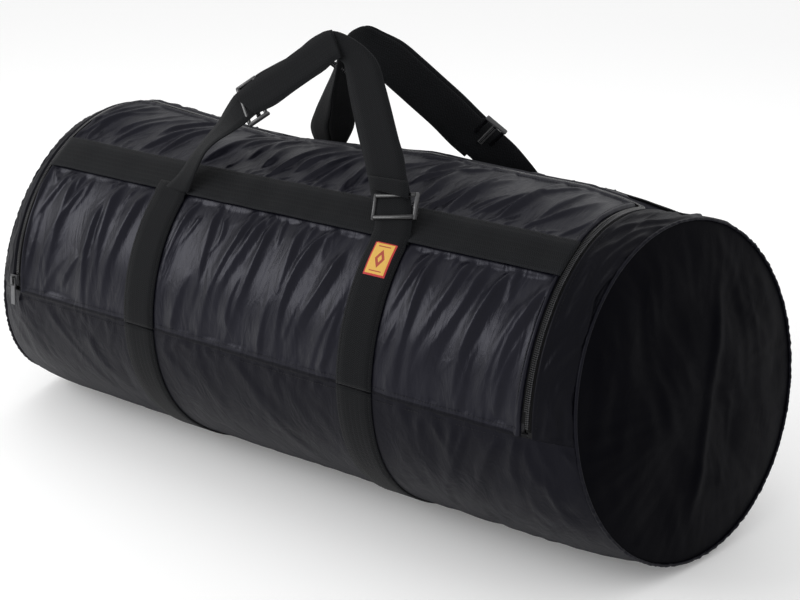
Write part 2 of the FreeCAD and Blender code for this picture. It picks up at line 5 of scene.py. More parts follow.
import bpy
import numpy as np
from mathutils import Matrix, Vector


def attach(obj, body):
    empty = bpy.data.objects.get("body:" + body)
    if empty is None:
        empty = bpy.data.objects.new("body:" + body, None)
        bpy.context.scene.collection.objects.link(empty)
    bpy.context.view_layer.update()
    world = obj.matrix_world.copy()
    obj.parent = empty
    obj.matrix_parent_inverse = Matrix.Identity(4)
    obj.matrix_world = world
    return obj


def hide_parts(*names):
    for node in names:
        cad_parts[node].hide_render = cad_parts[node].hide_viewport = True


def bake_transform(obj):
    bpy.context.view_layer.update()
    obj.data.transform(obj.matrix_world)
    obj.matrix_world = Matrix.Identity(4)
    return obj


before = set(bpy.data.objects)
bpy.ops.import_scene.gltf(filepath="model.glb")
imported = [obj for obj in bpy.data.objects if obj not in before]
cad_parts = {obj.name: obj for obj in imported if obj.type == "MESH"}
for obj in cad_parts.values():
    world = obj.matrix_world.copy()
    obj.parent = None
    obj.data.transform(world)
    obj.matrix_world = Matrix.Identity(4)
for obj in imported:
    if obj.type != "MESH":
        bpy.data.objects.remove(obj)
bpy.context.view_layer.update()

# Driving sizes in metres, as in the part's source.
AXIS_Z = 0.204
BARREL_R = 0.215
SHELL_END = 0.482
ZIP_LEG_X = 0.400
NYLON_SETBACK = 0.008
ZIP_TOP = 99.0
BAND_START = 47.8
BAND_END = 61.1
WEB = 0.050
WEB_THICK = 0.0022
STRAP_X = 0.170
STRAP_LIFT = 0.0012
MM = 0.001
DEGREE = math.radians(1.0)
PER_METRE = 1.0 / (BARREL_R * DEGREE)
SIDES = (("left", -1), ("right", 1))


# Noise used for folds and creases, the same on every run.
def lattice(ix, iy, seed):
    """Steady random direction at each whole-number point."""
    h = (ix * 374761393 + iy * 668265263 + seed * 1442695041) & 0xFFFFFFFF
    h = ((h ^ (h >> 13)) * 1274126177) & 0xFFFFFFFF
    h = (h ^ (h >> 16)) & 0xFFFFFFFF
    return h / 4294967296.0 * 2 * math.pi


def noise(u, v, seed=0):
    """Smooth noise about 0, from -0.7 to 0.7."""
    iu, iv = np.floor(u).astype(np.int64), np.floor(v).astype(np.int64)
    fu, fv = u - iu, v - iv
    total = 0.0
    wu = fu * fu * fu * (fu * (fu * 6 - 15) + 10)
    wv = fv * fv * fv * (fv * (fv * 6 - 15) + 10)
    for du in (0, 1):
        for dv in (0, 1):
            a = lattice(iu + du, iv + dv, seed)
            dot = np.cos(a) * (fu - du) + np.sin(a) * (fv - dv)
            total = total + dot * (wu if du else 1 - wu) * (wv if dv else 1 - wv)
    return total


def crease(u, v, seed, sharp=0.06):
    """Ridge noise: soft valleys that meet in fairly sharp crests, about 0 to 1."""
    n = noise(u, v, seed)
    return 1.0 - 2.2 * (np.sqrt(n * n + sharp * sharp) - sharp)


def folds(x, s, lean, across, along, seed, octaves=3, gain=0.5, sharp=0.06):
    """Creased cloth: lean turns the folds from upright, across and along are sizes in metres."""
    c, k = math.cos(lean * DEGREE), math.sin(lean * DEGREE)
    warp = noise(x / 0.11, s / 0.09, seed + 50) * 0.9
    total, norm, weight = 0.0, 0.0, 1.0
    for octave in range(octaves):
        turn = 0.35 * octave * (-1) ** octave
        cc, kk = c * math.cos(turn) - k * math.sin(turn), k * math.cos(turn) + c * math.sin(turn)
        u = (x * cc - s * kk) / across + warp
        v = (x * kk + s * cc) / along + 0.4 * warp
        total = total + weight * crease(u, v, seed + octave, sharp)
        norm += weight
        weight *= gain
        across, along = across * 0.52, along * 0.6
    return total / norm


def fold_set(x, s, root, seed, count, x_range, length, lean, width, height, sway=0.006):
    """Long slack folds of cloth. Each starts near the line s = root and runs up for its length, or down
    when that is negative, leaning along the bag by lean degrees. Ranges are (least, most)."""
    draw = np.random.default_rng(seed)
    total = np.zeros(np.broadcast(x, s).shape)
    spacing = (x_range[1] - x_range[0]) / count
    places = np.linspace(x_range[0], x_range[1], count) + draw.uniform(-0.45, 0.45, count) * spacing
    for place in places:
        reach = draw.uniform(*length)
        slope = math.tan(draw.uniform(*lean) * DEGREE)
        wide = draw.uniform(*width)
        tall = draw.uniform(*height)
        begin = root + draw.uniform(0.0, 0.35) * reach * (draw.random() < 0.45)
        share = (s - begin) / reach
        run = np.clip(share, 0.0, 1.0)
        wave = sway * np.sin(share * draw.uniform(2.5, 5.5) + draw.uniform(0, 6.28))
        centre = place + slope * (s - root) + wave
        w = wide * (0.28 + 0.72 * run ** 0.8) + 0.0015
        side = x - centre
        steep, gentle = w * draw.uniform(0.40, 0.65), w * draw.uniform(1.1, 1.7)
        q = np.where(side > 0, side / steep, side / gentle)
        crest = np.exp(-1.5 * np.sqrt(q * q + 0.06) + 0.367)
        body = (1.0 - run) ** 0.9 * ease(share, -0.03, 0.16)
        total = total + (tall * body * crest) ** 4
    return total ** 0.25


def ease(value, low, high):
    """0 at low and below, 1 at high and above, smooth between."""
    t = np.clip((value - low) / (high - low), 0, 1)
    return t * t * (3 - 2 * t)


def bump_at(value, centre, width):
    return np.exp(-((value - centre) / width) ** 2)


# The barrel's relaxed form. Its top sinks in places, and both ends lean in at the front and top.
TOP_LINE = [(-0.483, 0.0), (-0.37, 0.005), (-0.25, -0.006), (-0.14, -0.013), (0.0, -0.006),
            (0.105, 0.001), (0.243, -0.004), (0.322, -0.005), (0.365, -0.011), (0.41, -0.020), (0.44, -0.017),
            (0.483, -0.003)]
SHOULDER_START = 0.384
RIM_CENTRE = 0.484
RIM_R = 0.196
RIM_IN_AT_FRONT = math.tan(11.3 * DEGREE)
RIM_IN_AT_TOP = math.tan(9.4 * DEGREE)
FLOOR_NYLON = 0.0030


def rim_frame(sign):
    """Middle of an end's leaning rim, and directions out of the bag, towards the front seam and up."""
    out = np.array([sign, -RIM_IN_AT_FRONT, RIM_IN_AT_TOP])
    out = out / np.linalg.norm(out)
    front = np.array([0.0, -1.0, 0.0])
    first = front - out * out.dot(front)
    first = first / np.linalg.norm(first)
    return np.array([sign * RIM_CENTRE, 0.0, AXIS_Z]), out, first, sign * np.cross(first, out)


def rim_point(sign, theta):
    origin, _, first, up = rim_frame(sign)
    a = theta[..., None] * DEGREE
    return origin + RIM_R * (np.cos(a) * first + np.sin(a) * up)


def barrel_skin(x, theta):
    """The nylon's own place, before folds: round, then a soft shoulder down to each leaning rim."""
    xs = [p[0] for p in TOP_LINE]
    top = np.interp(x, xs, [p[1] for p in TOP_LINE])
    wrapped = (theta + 180.0) % 360.0 - 180.0
    from_top = (theta - 105.0 + 180.0) % 360.0 - 180.0
    radius = BARREL_R + top * bump_at(from_top, 0.0, 34.0) - 0.007 * bump_at(wrapped, -58.0, 24.0)
    a = theta * DEGREE
    centre = np.stack([x, -radius * np.cos(a), AXIS_Z + radius * np.sin(a)], axis=-1)
    rim = np.where((x < 0)[..., None], rim_point(-1, theta), rim_point(1, theta))
    t = (np.abs(x) - SHOULDER_START) / (SHELL_END - SHOULDER_START)
    t = np.clip(t, 0.0, 1.0)[..., None]
    near = centre.copy()
    near[..., 0] = np.sign(x) * SHOULDER_START
    knee = near.copy()
    knee[..., 0] = near[..., 0] + 0.62 * (rim[..., 0] - near[..., 0])
    flatter = 0.10 + 0.42 * bump_at(theta - 128.0, 0.0, 42.0)[..., None]
    knee[..., 1:] = near[..., 1:] + flatter * (rim[..., 1:] - near[..., 1:])
    shoulder = (1 - t) ** 2 * near + 2 * t * (1 - t) * knee + t * t * rim
    return np.where(np.abs(x)[..., None] > SHOULDER_START, shoulder, centre)


def barrel(x, theta, lift):
    """Points on the soft barrel: x along it, theta in degrees up from the front seam, lift outwards."""
    x, theta, lift = np.broadcast_arrays(*(np.asarray(value, float) for value in (x, theta, lift)))
    step = 0.0015
    along = barrel_skin(x + step, theta) - barrel_skin(x - step, theta)
    around = barrel_skin(x, theta + step * PER_METRE) - barrel_skin(x, theta - step * PER_METRE)
    out = np.cross(along, around)
    out = out / np.maximum(np.linalg.norm(out, axis=-1, keepdims=True), 1e-12)
    points = barrel_skin(x, theta) + out * lift[..., None]
    floor = np.maximum(FLOOR_NYLON - lift, 0.0003)
    over = points[..., 2] - floor
    soft = floor + 0.5 * (over + np.sqrt(over * over + 0.000016))
    points[..., 2] = np.where(over > 0.03, points[..., 2], soft)
    return points


def frame_at(x, theta, lift):
    """Point, direction along the bag, direction up round it and outward normal at a place on the barrel."""
    step = 0.002
    centre = barrel(x, theta, lift)
    along = barrel(x + step, theta, lift) - barrel(x - step, theta, lift)
    up = barrel(x, theta + step * PER_METRE, lift) - barrel(x, theta - step * PER_METRE, lift)
    along = along / np.linalg.norm(along, axis=-1, keepdims=True)
    up = up / np.linalg.norm(up, axis=-1, keepdims=True)
    out = np.cross(along, up)
    out = out / np.linalg.norm(out, axis=-1, keepdims=True)
    return centre, along, up, out


# Mesh builders.
def make_object(name, vertices, faces, uvs, material, body, slot, smooth=True):
    """A mesh from points, faces and one texture place for each point."""
    mesh = bpy.data.meshes.new(name)
    mesh.from_pydata([tuple(v) for v in vertices], [], [tuple(f) for f in faces])
    layer = mesh.uv_layers.new(name="cloth")
    uvs = np.asarray(uvs, dtype=np.float32)
    corners = np.empty(len(mesh.loops), dtype=np.int32)
    mesh.loops.foreach_get("vertex_index", corners)
    layer.data.foreach_set("uv", uvs[corners].ravel())
    mesh.polygons.foreach_set("use_smooth", [smooth] * len(mesh.polygons))
    mesh.materials.append(material)
    mesh.validate()
    piece = bpy.data.objects.new(name, mesh)
    bpy.context.scene.collection.objects.link(piece)
    if body:
        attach(piece, body)
    return piece


def make_sheet(name, points, uvs, material, body, slot):
    """An open sheet from a grid of points; uvs is its two grids of texture places."""
    rows, columns = points.shape[:2]
    uvs = np.stack(np.broadcast_arrays(*uvs), axis=-1)
    return make_object(name, points.reshape(-1, 3), grid_faces(rows, columns), uvs.reshape(-1, 2), material,
                       body, slot)


def grid_faces(rows, columns, wrap=False):
    """Faces of a grid of points stored row by row."""
    faces = []
    last = columns if wrap else columns - 1
    for i in range(rows - 1):
        for j in range(last):
            k = (j + 1) % columns
            faces.append((i * columns + j, (i + 1) * columns + j, (i + 1) * columns + k, i * columns + k))
    return faces


def join_parts(parts):
    """Several (points, faces, uvs) as one."""
    points, faces, uvs, start = [], [], [], 0
    for part_points, part_faces, part_uvs in parts:
        points.append(part_points)
        uvs.append(part_uvs)
        faces.extend([tuple(index + start for index in face) for face in part_faces])
        start += len(part_points)
    return np.concatenate(points), faces, np.concatenate(uvs)


def web_section(width, thickness):
    """Half-rounded outline of webbing: (across, out) pairs."""
    h, t, r = width / 2, thickness / 2, thickness * 0.32
    face = [(-h + r, t), (-h * 0.5, t), (0, t * 1.04), (h * 0.5, t), (h - r, t)]
    return [(-h, 0)] + face + [(h, 0)] + [(a, -b) for a, b in face[::-1]]


def run_along(points):
    """Distance along a line at each of its points."""
    return np.concatenate([[0.0], np.cumsum(np.linalg.norm(np.diff(points, axis=0), axis=1))])


def web_mesh(centre, across, normal, width=WEB, thickness=WEB_THICK):
    """Webbing swept along a line of frames, with closed ends."""
    widths = np.broadcast_to(np.asarray(width, float), (len(centre),))
    section = web_section(WEB, thickness)
    rows, columns = len(centre), len(section)
    a = np.array([p[0] for p in section])
    b = np.array([p[1] for p in section])
    reach = widths[:, None] / WEB * a[None, :]
    points = centre[:, None, :] + across[:, None, :] * reach[..., None]
    points = points + normal[:, None, :] * b[None, :, None]
    uvs = np.stack(np.broadcast_arrays(run_along(centre)[:, None], a[None, :]), axis=-1)
    faces = grid_faces(rows, columns, wrap=True)
    faces.append(tuple(range(columns)))
    faces.append(tuple((rows - 1) * columns + j for j in reversed(range(columns))))
    return points.reshape(-1, 3), faces, uvs.reshape(-1, 2)


def point_on(line, run, at):
    """Point, or direction, at a distance along a line."""
    return np.array([np.interp(at, run, line[:, k]) for k in range(3)])


STITCH = 0.0026
STITCH_GAP = 0.0014
THREAD_R = 0.00032
THREAD_PROUD = 0.0001
# Along each stitch: share of its length, share of its thickness, and height in thread radii.
STITCH_FORM = [(0.0, 0.15, -0.9), (0.12, 0.85, -0.15), (0.5, 1.0, 0.0), (0.88, 0.85, -0.15),
               (1.0, 0.15, -0.9)]
THREAD_SIDES = 5


def stitch_line(points, out):
    """Row of thread stitches along a line of points, lying on a surface with the given normals."""
    run = run_along(points)
    parts = []
    for index in range(int(run[-1] / (STITCH + STITCH_GAP))):
        begin = index * (STITCH + STITCH_GAP)
        rings = []
        for share, swell, sink in STITCH_FORM:
            n = point_on(out, run, begin + share * STITCH)
            p = point_on(points, run, begin + share * STITCH) + n * (THREAD_PROUD + sink * THREAD_R)
            rings.append((p, n, swell))
        direction = rings[-1][0] - rings[0][0]
        direction = direction / np.linalg.norm(direction)
        ring_points = []
        for p, n, swell in rings:
            side = np.cross(direction, n)
            for k in range(THREAD_SIDES):
                angle = 2 * math.pi * k / THREAD_SIDES
                ring_points.append(p + THREAD_R * swell * (math.cos(angle) * side + math.sin(angle) * n))
        faces = grid_faces(len(STITCH_FORM), THREAD_SIDES, wrap=True)
        parts.append((np.array(ring_points), faces, np.zeros((len(ring_points), 2))))
    return join_parts(parts)


def sew(name, line, out, body):
    """Row of stitches as its own piece."""
    return make_object(name, *stitch_line(line, out), THREAD, body, "webbing")


# Material helpers.
def node(tree, kind, **values):
    """Adds a node and sets its inputs, or its own settings, by name."""
    item = tree.nodes.new(kind)
    for name, value in values.items():
        if name in item.inputs:
            item.inputs[name].default_value = value
        else:
            setattr(item, name, value)
    return item


def group(name, inputs, outputs):
    """Empty shader group with named number, vector or colour sockets."""
    tree = bpy.data.node_groups.new(name, "ShaderNodeTree")
    kinds = {"number": "NodeSocketFloat", "vector": "NodeSocketVector", "colour": "NodeSocketColor"}
    for label, kind, value in inputs:
        socket = tree.interface.new_socket(label, in_out="INPUT", socket_type=kinds[kind])
        if value is not None:
            socket.default_value = value
    for label, kind in outputs:
        tree.interface.new_socket(label, in_out="OUTPUT", socket_type=kinds[kind])
    return tree, tree.nodes.new("NodeGroupInput"), tree.nodes.new("NodeGroupOutput")


def maths(tree, operation, first, second=None, clamp=False):
    item = tree.nodes.new("ShaderNodeMath")
    item.operation = operation
    item.use_clamp = clamp
    for index, value in enumerate((first, second)):
        if value is None:
            continue
        if isinstance(value, (int, float)):
            item.inputs[index].default_value = value
        else:
            tree.links.new(value, item.inputs[index])
    return item.outputs[0]


def crinkle_group():
    """Fine creases of coated nylon: sharp little ridges over softer waves, from places in metres."""
    tree, inside, outside = group(
        "nylon_crinkle",
        [("Place", "vector", None), ("Size", "number", 0.02), ("Stretch", "number", 2.5),
         ("Sharp", "number", 0.5)],
        [("Height", "number"), ("Mottle", "number")])
    link = tree.links.new
    scale = maths(tree, "DIVIDE", 1.0, inside.outputs["Size"])
    tall = maths(tree, "DIVIDE", scale, inside.outputs["Stretch"])
    grow = tree.nodes.new("ShaderNodeCombineXYZ")
    link(scale, grow.inputs["X"])
    link(tall, grow.inputs["Y"])
    place = node(tree, "ShaderNodeVectorMath", operation="MULTIPLY")
    link(inside.outputs["Place"], place.inputs[0])
    link(grow.outputs[0], place.inputs[1])
    waves, ridges = [], []
    for scale, detail, roughness, distortion in ((1.0, 3.0, 0.55, 0.6), (2.7, 2.0, 0.6, 1.1)):
        wave = node(tree, "ShaderNodeTexNoise", noise_dimensions="2D", Scale=scale, Detail=detail,
                    Roughness=roughness, Distortion=distortion)
        link(place.outputs[0], wave.inputs["Vector"])
        waves.append(wave.outputs[0])
        ridges.append(maths(tree, "ABSOLUTE", maths(tree, "SUBTRACT", wave.outputs[0], 0.5)))
    low = maths(tree, "MULTIPLY", ridges[0], -2.0)
    high = maths(tree, "MULTIPLY", maths(tree, "MULTIPLY", ridges[1], -0.9), inside.outputs["Sharp"])
    link(maths(tree, "ADD", maths(tree, "ADD", low, high), 1.0), outside.inputs["Height"])
    link(waves[0], outside.inputs["Mottle"])
    return tree


def weave_group():
    """Crossed threads at a set pitch, from places in metres."""
    tree, inside, outside = group(
        "plain_weave", [("Place", "vector", None), ("Pitch", "number", 0.0006)],
        [("Height", "number"), ("Thread", "number")])
    link = tree.links.new
    split = tree.nodes.new("ShaderNodeSeparateXYZ")
    link(inside.outputs["Place"], split.inputs[0])
    turns = maths(tree, "DIVIDE", 2 * math.pi, inside.outputs["Pitch"])
    warp = maths(tree, "SINE", maths(tree, "MULTIPLY", split.outputs["X"], turns))
    weft = maths(tree, "SINE", maths(tree, "MULTIPLY", split.outputs["Y"], turns))
    both = maths(tree, "MULTIPLY", warp, weft)
    half = maths(tree, "MULTIPLY_ADD", both, 0.5)
    half.node.inputs[2].default_value = 0.5
    link(half, outside.inputs["Height"])
    grain = node(tree, "ShaderNodeTexNoise", noise_dimensions="2D", Scale=900.0, Detail=1.0)
    link(inside.outputs["Place"], grain.inputs["Vector"])
    link(grain.outputs[0], outside.inputs["Thread"])
    return tree


def webbing_group():
    """Ribbed webbing: close cross ribs, stepped in twill rows, with plain edges."""
    tree, inside, outside = group(
        "webbing_ribs", [("Place", "vector", None), ("Rib", "number", 0.0026), ("Row", "number", 0.0034),
                         ("Half width", "number", 0.025)],
        [("Height", "number"), ("Edge", "number"), ("Fuzz", "number")])
    link = tree.links.new
    split = tree.nodes.new("ShaderNodeSeparateXYZ")
    link(inside.outputs["Place"], split.inputs[0])
    side = maths(tree, "ABSOLUTE", split.outputs["Y"])
    row = maths(tree, "PINGPONG", split.outputs["Y"], inside.outputs["Row"])
    slant = maths(tree, "ADD", split.outputs["X"], maths(tree, "MULTIPLY", row, 0.9))
    turns = maths(tree, "DIVIDE", 2 * math.pi, inside.outputs["Rib"])
    rib = maths(tree, "SINE", maths(tree, "MULTIPLY", slant, turns))
    cross_turns = maths(tree, "DIVIDE", 2 * math.pi, inside.outputs["Row"])
    cross = maths(tree, "SINE", maths(tree, "MULTIPLY", split.outputs["Y"], cross_turns))
    height = maths(tree, "ADD", maths(tree, "MULTIPLY", rib, 0.5), maths(tree, "MULTIPLY", cross, 0.10))
    link(maths(tree, "ADD", height, 0.5), outside.inputs["Height"])
    margin = maths(tree, "SUBTRACT", inside.outputs["Half width"], side)
    edge = maths(tree, "LESS_THAN", margin, 0.0022)
    link(edge, outside.inputs["Edge"])
    fuzz = node(tree, "ShaderNodeTexNoise", noise_dimensions="2D", Scale=420.0, Detail=3.0, Roughness=0.7)
    link(inside.outputs["Place"], fuzz.inputs["Vector"])
    link(fuzz.outputs[0], outside.inputs["Fuzz"])
    return tree


def wear_and_glint_group():
    """Slight dust and rubbing, from the shape's own convex edges and a slow mottle; on the zip teeth these lighter
    edges are painted glints.
    """
    tree, inside, outside = group("rub_dust_and_glint", [("Amount", "number", 0.3)], [("Mask", "number")])
    link = tree.links.new
    geometry = tree.nodes.new("ShaderNodeNewGeometry")
    edges = node(tree, "ShaderNodeMapRange", **{"From Min": 0.5, "From Max": 0.62})
    link(geometry.outputs["Pointiness"], edges.inputs["Value"])
    place = tree.nodes.new("ShaderNodeTexCoord")
    cloud = node(tree, "ShaderNodeTexNoise", Scale=35.0, Detail=4.0, Roughness=0.65)
    link(place.outputs["Object"], cloud.inputs["Vector"])
    mask = maths(tree, "MULTIPLY", edges.outputs["Result"], cloud.outputs[0])
    link(maths(tree, "MULTIPLY", mask, inside.outputs["Amount"], clamp=True), outside.inputs["Mask"])
    return tree


CRINKLE = crinkle_group()
WEAVE = weave_group()
WEBBING = webbing_group()
WEAR_AND_GLINT = wear_and_glint_group()


def place_group(tree, which, **values):
    item = tree.nodes.new("ShaderNodeGroup")
    item.node_tree = which
    for name, value in values.items():
        item.inputs[name.replace("_", " ")].default_value = value
    return item


def new_material(name, colour, roughness, **shader_values):
    material = bpy.data.materials.new(name)
    material.use_nodes = True
    shader = material.node_tree.nodes["Principled BSDF"]
    shader.inputs["Base Color"].default_value = (*colour, 1.0)
    shader.inputs["Roughness"].default_value = roughness
    for label, value in shader_values.items():
        shader.inputs[label.replace("_", " ")].default_value = value
    return material, material.node_tree, shader


def cloth_place(tree):
    item = tree.nodes.new("ShaderNodeUVMap")
    item.uv_map = "cloth"
    return item.outputs["UV"]


def mix_colour(tree, factor, dark, light):
    item = tree.nodes.new("ShaderNodeMix")
    item.data_type = "RGBA"
    item.inputs["A"].default_value = (*dark, 1.0)
    item.inputs["B"].default_value = (*light, 1.0)
    tree.links.new(factor, item.inputs["Factor"])
    return item.outputs["Result"]


def add_bump(tree, shader, heights):
    """Chains bumps: each is (height socket, strength, distance in metres)."""
    before = None
    for height, strength, distance in heights:
        item = node(tree, "ShaderNodeBump", Strength=strength, Distance=distance)
        tree.links.new(height, item.inputs["Height"])
        if before:
            tree.links.new(before, item.inputs["Normal"])
        before = item.outputs["Normal"]
    tree.links.new(before, shader.inputs["Normal"])


def range_of(tree, value, low, high):
    item = node(tree, "ShaderNodeMapRange", **{"To Min": low, "To Max": high})
    tree.links.new(value, item.inputs["Value"])
    return item.outputs["Result"]


def nylon_material(name, dark, light, rough_low, rough_high, crinkle, size, stretch, gloss):
    """Thin coated nylon: near black, fine crinkles, a tight weave and an uneven soft shine."""
    material, tree, shader = new_material(name, dark, rough_low, Sheen_Weight=0.008, Sheen_Roughness=0.4,
                                          Specular_IOR_Level=gloss, Specular_Tint=(0.86, 0.86, 1.0, 1.0))
    shader.inputs["Sheen Tint"].default_value = (0.62, 0.62, 0.80, 1.0)
    place = cloth_place(tree)
    creases = place_group(tree, CRINKLE, Size=size, Stretch=stretch, Sharp=0.7)
    threads = place_group(tree, WEAVE, Pitch=0.0007)
    lighter_edges = place_group(tree, WEAR_AND_GLINT, Amount=0.5)
    tree.links.new(place, creases.inputs["Place"])
    tree.links.new(place, threads.inputs["Place"])
    shade = maths(tree, "ADD", creases.outputs["Mottle"], lighter_edges.outputs["Mask"])
    tree.links.new(mix_colour(tree, shade, dark, light), shader.inputs["Base Color"])
    slant = node(tree, "ShaderNodeLayerWeight", Blend=0.35)
    dull = maths(tree, "MULTIPLY", maths(tree, "POWER", slant.outputs["Facing"], 3.0), 0.5)
    rough = range_of(tree, creases.outputs["Mottle"], rough_low, rough_high)
    tree.links.new(maths(tree, "ADD", rough, dull, clamp=True), shader.inputs["Roughness"])
    add_bump(tree, shader, [(creases.outputs["Height"], crinkle, 0.004),
                            (threads.outputs["Height"], 0.12, 0.0002)])
    return material


def webbing_material(name, dark, light):
    material, tree, shader = new_material(name, dark, 0.72, Sheen_Weight=0.05, Sheen_Roughness=0.5,
                                          Specular_IOR_Level=0.07)
    place = cloth_place(tree)
    ribs = place_group(tree, WEBBING, Half_width=WEB / 2)
    lighter_edges = place_group(tree, WEAR_AND_GLINT, Amount=0.8)
    tree.links.new(place, ribs.inputs["Place"])
    tone = maths(tree, "MULTIPLY", ribs.outputs["Height"], ribs.outputs["Fuzz"])
    tone = maths(tree, "ADD", tone, maths(tree, "MULTIPLY", ribs.outputs["Edge"], 0.12))
    tone = maths(tree, "ADD", tone, lighter_edges.outputs["Mask"], clamp=True)
    tree.links.new(mix_colour(tree, tone, dark, light), shader.inputs["Base Color"])
    tree.links.new(range_of(tree, ribs.outputs["Fuzz"], 0.6, 0.85), shader.inputs["Roughness"])
    add_bump(tree, shader, [(ribs.outputs["Height"], 0.55, 0.0005), (ribs.outputs["Fuzz"], 0.2, 0.0004)])
    return material


def woven_material(name, dark, light, roughness, pitch, strength=0.5):
    material, tree, shader = new_material(name, dark, roughness, Sheen_Weight=0.04, Sheen_Roughness=0.5,
                                          Specular_IOR_Level=0.18)
    place = cloth_place(tree)
    threads = place_group(tree, WEAVE, Pitch=pitch)
    tree.links.new(place, threads.inputs["Place"])
    tone = maths(tree, "MULTIPLY", threads.outputs["Height"], threads.outputs["Thread"])
    tree.links.new(mix_colour(tree, tone, dark, light), shader.inputs["Base Color"])
    tree.links.new(range_of(tree, threads.outputs["Thread"], roughness - 0.08, roughness + 0.08),
                   shader.inputs["Roughness"])
    add_bump(tree, shader, [(threads.outputs["Height"], strength, 0.0003)])
    return material


def hard_material(name, dark, light, roughness, metallic=0.0):
    """Moulded plastic or lacquered metal: fine grain, and edges rubbed lighter; on the zip teeth these lighter edges
    are painted glints.
    """
    material, tree, shader = new_material(name, dark, roughness, Metallic=metallic)
    place = tree.nodes.new("ShaderNodeTexCoord").outputs["Object"]
    specks = node(tree, "ShaderNodeTexNoise", Scale=900.0, Detail=2.0)
    tree.links.new(place, specks.inputs["Vector"])
    lighter_edges = place_group(tree, WEAR_AND_GLINT, Amount=1.0)
    # Lighter convex edges; on the zip teeth they are painted glints.
    tree.links.new(mix_colour(tree, lighter_edges.outputs["Mask"], dark, light), shader.inputs["Base Color"])
    tree.links.new(range_of(tree, specks.outputs[0], roughness - 0.06, roughness + 0.1),
                   shader.inputs["Roughness"])
    add_bump(tree, shader, [(specks.outputs[0], 0.15, 0.0001)])
    return material


LABEL_HALF_WIDTH = 0.0150
LABEL_HALF_HEIGHT = 0.0208


def label_material():
    """Woven label: thin red edge, yellow field, one plain open lozenge and two short bars."""
    red, yellow, brown = (0.42, 0.012, 0.012), (0.62, 0.36, 0.055), (0.33, 0.035, 0.012)
    edge = 0.0021
    lozenge_half_width, lozenge_half_height, lozenge_hole = 0.0068, 0.0115, 0.42
    bar_low, bar_high, bar_half_width = 0.0145, 0.0158, 0.0085
    material, tree, shader = new_material("woven_label", red, 0.62, Sheen_Weight=0.05)
    place = cloth_place(tree)
    split = tree.nodes.new("ShaderNodeSeparateXYZ")
    tree.links.new(place, split.inputs[0])
    across = maths(tree, "ABSOLUTE", split.outputs["X"])
    upward = maths(tree, "ABSOLUTE", split.outputs["Y"])

    def between(value, low, high):
        return maths(tree, "MULTIPLY", maths(tree, "GREATER_THAN", value, low),
                     maths(tree, "LESS_THAN", value, high))

    field = maths(tree, "MULTIPLY", maths(tree, "LESS_THAN", across, LABEL_HALF_WIDTH - edge),
                  maths(tree, "LESS_THAN", upward, LABEL_HALF_HEIGHT - edge))
    lozenge = maths(tree, "ADD", maths(tree, "DIVIDE", across, lozenge_half_width),
                    maths(tree, "DIVIDE", upward, lozenge_half_height))
    bars = maths(tree, "MULTIPLY", between(upward, bar_low, bar_high),
                 maths(tree, "LESS_THAN", across, bar_half_width))
    mark = maths(tree, "MAXIMUM", between(lozenge, lozenge_hole, 1.0), bars)
    second = tree.nodes.new("ShaderNodeMix")
    second.data_type = "RGBA"
    second.inputs["B"].default_value = (*brown, 1.0)
    tree.links.new(mix_colour(tree, field, red, yellow), second.inputs["A"])
    tree.links.new(mark, second.inputs["Factor"])
    tree.links.new(second.outputs["Result"], shader.inputs["Base Color"])
    threads = place_group(tree, WEAVE, Pitch=0.0009)
    tree.links.new(place, threads.inputs["Place"])
    add_bump(tree, shader, [(threads.outputs["Height"], 0.5, 0.0003)])
    return material


NYLON = nylon_material(
    "shell_nylon", (0.0022, 0.0022, 0.0046), (0.0054, 0.0054, 0.0094), rough_low=0.24, rough_high=0.38,
    crinkle=0.26, size=0.034, stretch=3.0, gloss=0.20)
# Shaded copy of the shell nylon for the underside, also used on the end seams: its darker base colour is painted
# shade.
SHADED_SMOOTH_NYLON = nylon_material(
    "shaded_lower_nylon", (0.0016, 0.0016, 0.0032), (0.0036, 0.0036, 0.0062), rough_low=0.30, rough_high=0.44,
    crinkle=0.20, size=0.040, stretch=1.8, gloss=0.12)
# Shaded copy of the shell nylon for the round ends: its much darker base colour is painted shade.
SHADED_END_NYLON = nylon_material(
    "end_nylon", (0.0006, 0.0006, 0.0012), (0.0011, 0.0011, 0.0020), rough_low=0.44, rough_high=0.58,
    crinkle=0.10, size=0.06, stretch=1.2, gloss=0.03)
GUSSET_NYLON = nylon_material(
    "gusset_nylon", (0.0008, 0.0008, 0.0016), (0.0020, 0.0020, 0.0034), rough_low=0.30, rough_high=0.44,
    crinkle=0.24, size=0.034, stretch=2.4, gloss=0.11)
WEBBING_CLOTH = webbing_material("strap_webbing", (0.0010, 0.0012, 0.0016), (0.0165, 0.0175, 0.0198))
ZIP_TAPE = woven_material("zip_tape", (0.0012, 0.0012, 0.0014), (0.0060, 0.0060, 0.0068), 0.7, 0.0021)
LINING = woven_material("lining_cloth", (0.006, 0.006, 0.007), (0.018, 0.018, 0.021), 0.7, 0.0018)
FOAM = woven_material("foam", (0.07, 0.07, 0.075), (0.14, 0.14, 0.15), 0.85, 0.0022, 0.8)
THREAD = woven_material("thread", (0.0030, 0.0030, 0.0036), (0.013, 0.013, 0.0145), 0.6, 0.0004)
# Zip teeth: their light edge colour is a painted glint.
TEETH = hard_material("zip_teeth", (0.006, 0.006, 0.007), (0.16, 0.16, 0.17), 0.20)
ZIP_METAL = hard_material("zip_metal", (0.010, 0.010, 0.011), (0.22, 0.22, 0.23), 0.30, 0.3)
PLASTIC = hard_material("adjuster_plastic", (0.005, 0.005, 0.006), (0.16, 0.16, 0.165), 0.18)
LABEL = label_material()


# Nylon panels.
DEEPEST_HOLLOW = -0.0058
HEM_HEIGHT = 0.0030
HEM_WIDTH = 0.0036
HEM_TURN_IN = 0.0022
BAND_SOFT = 0.007
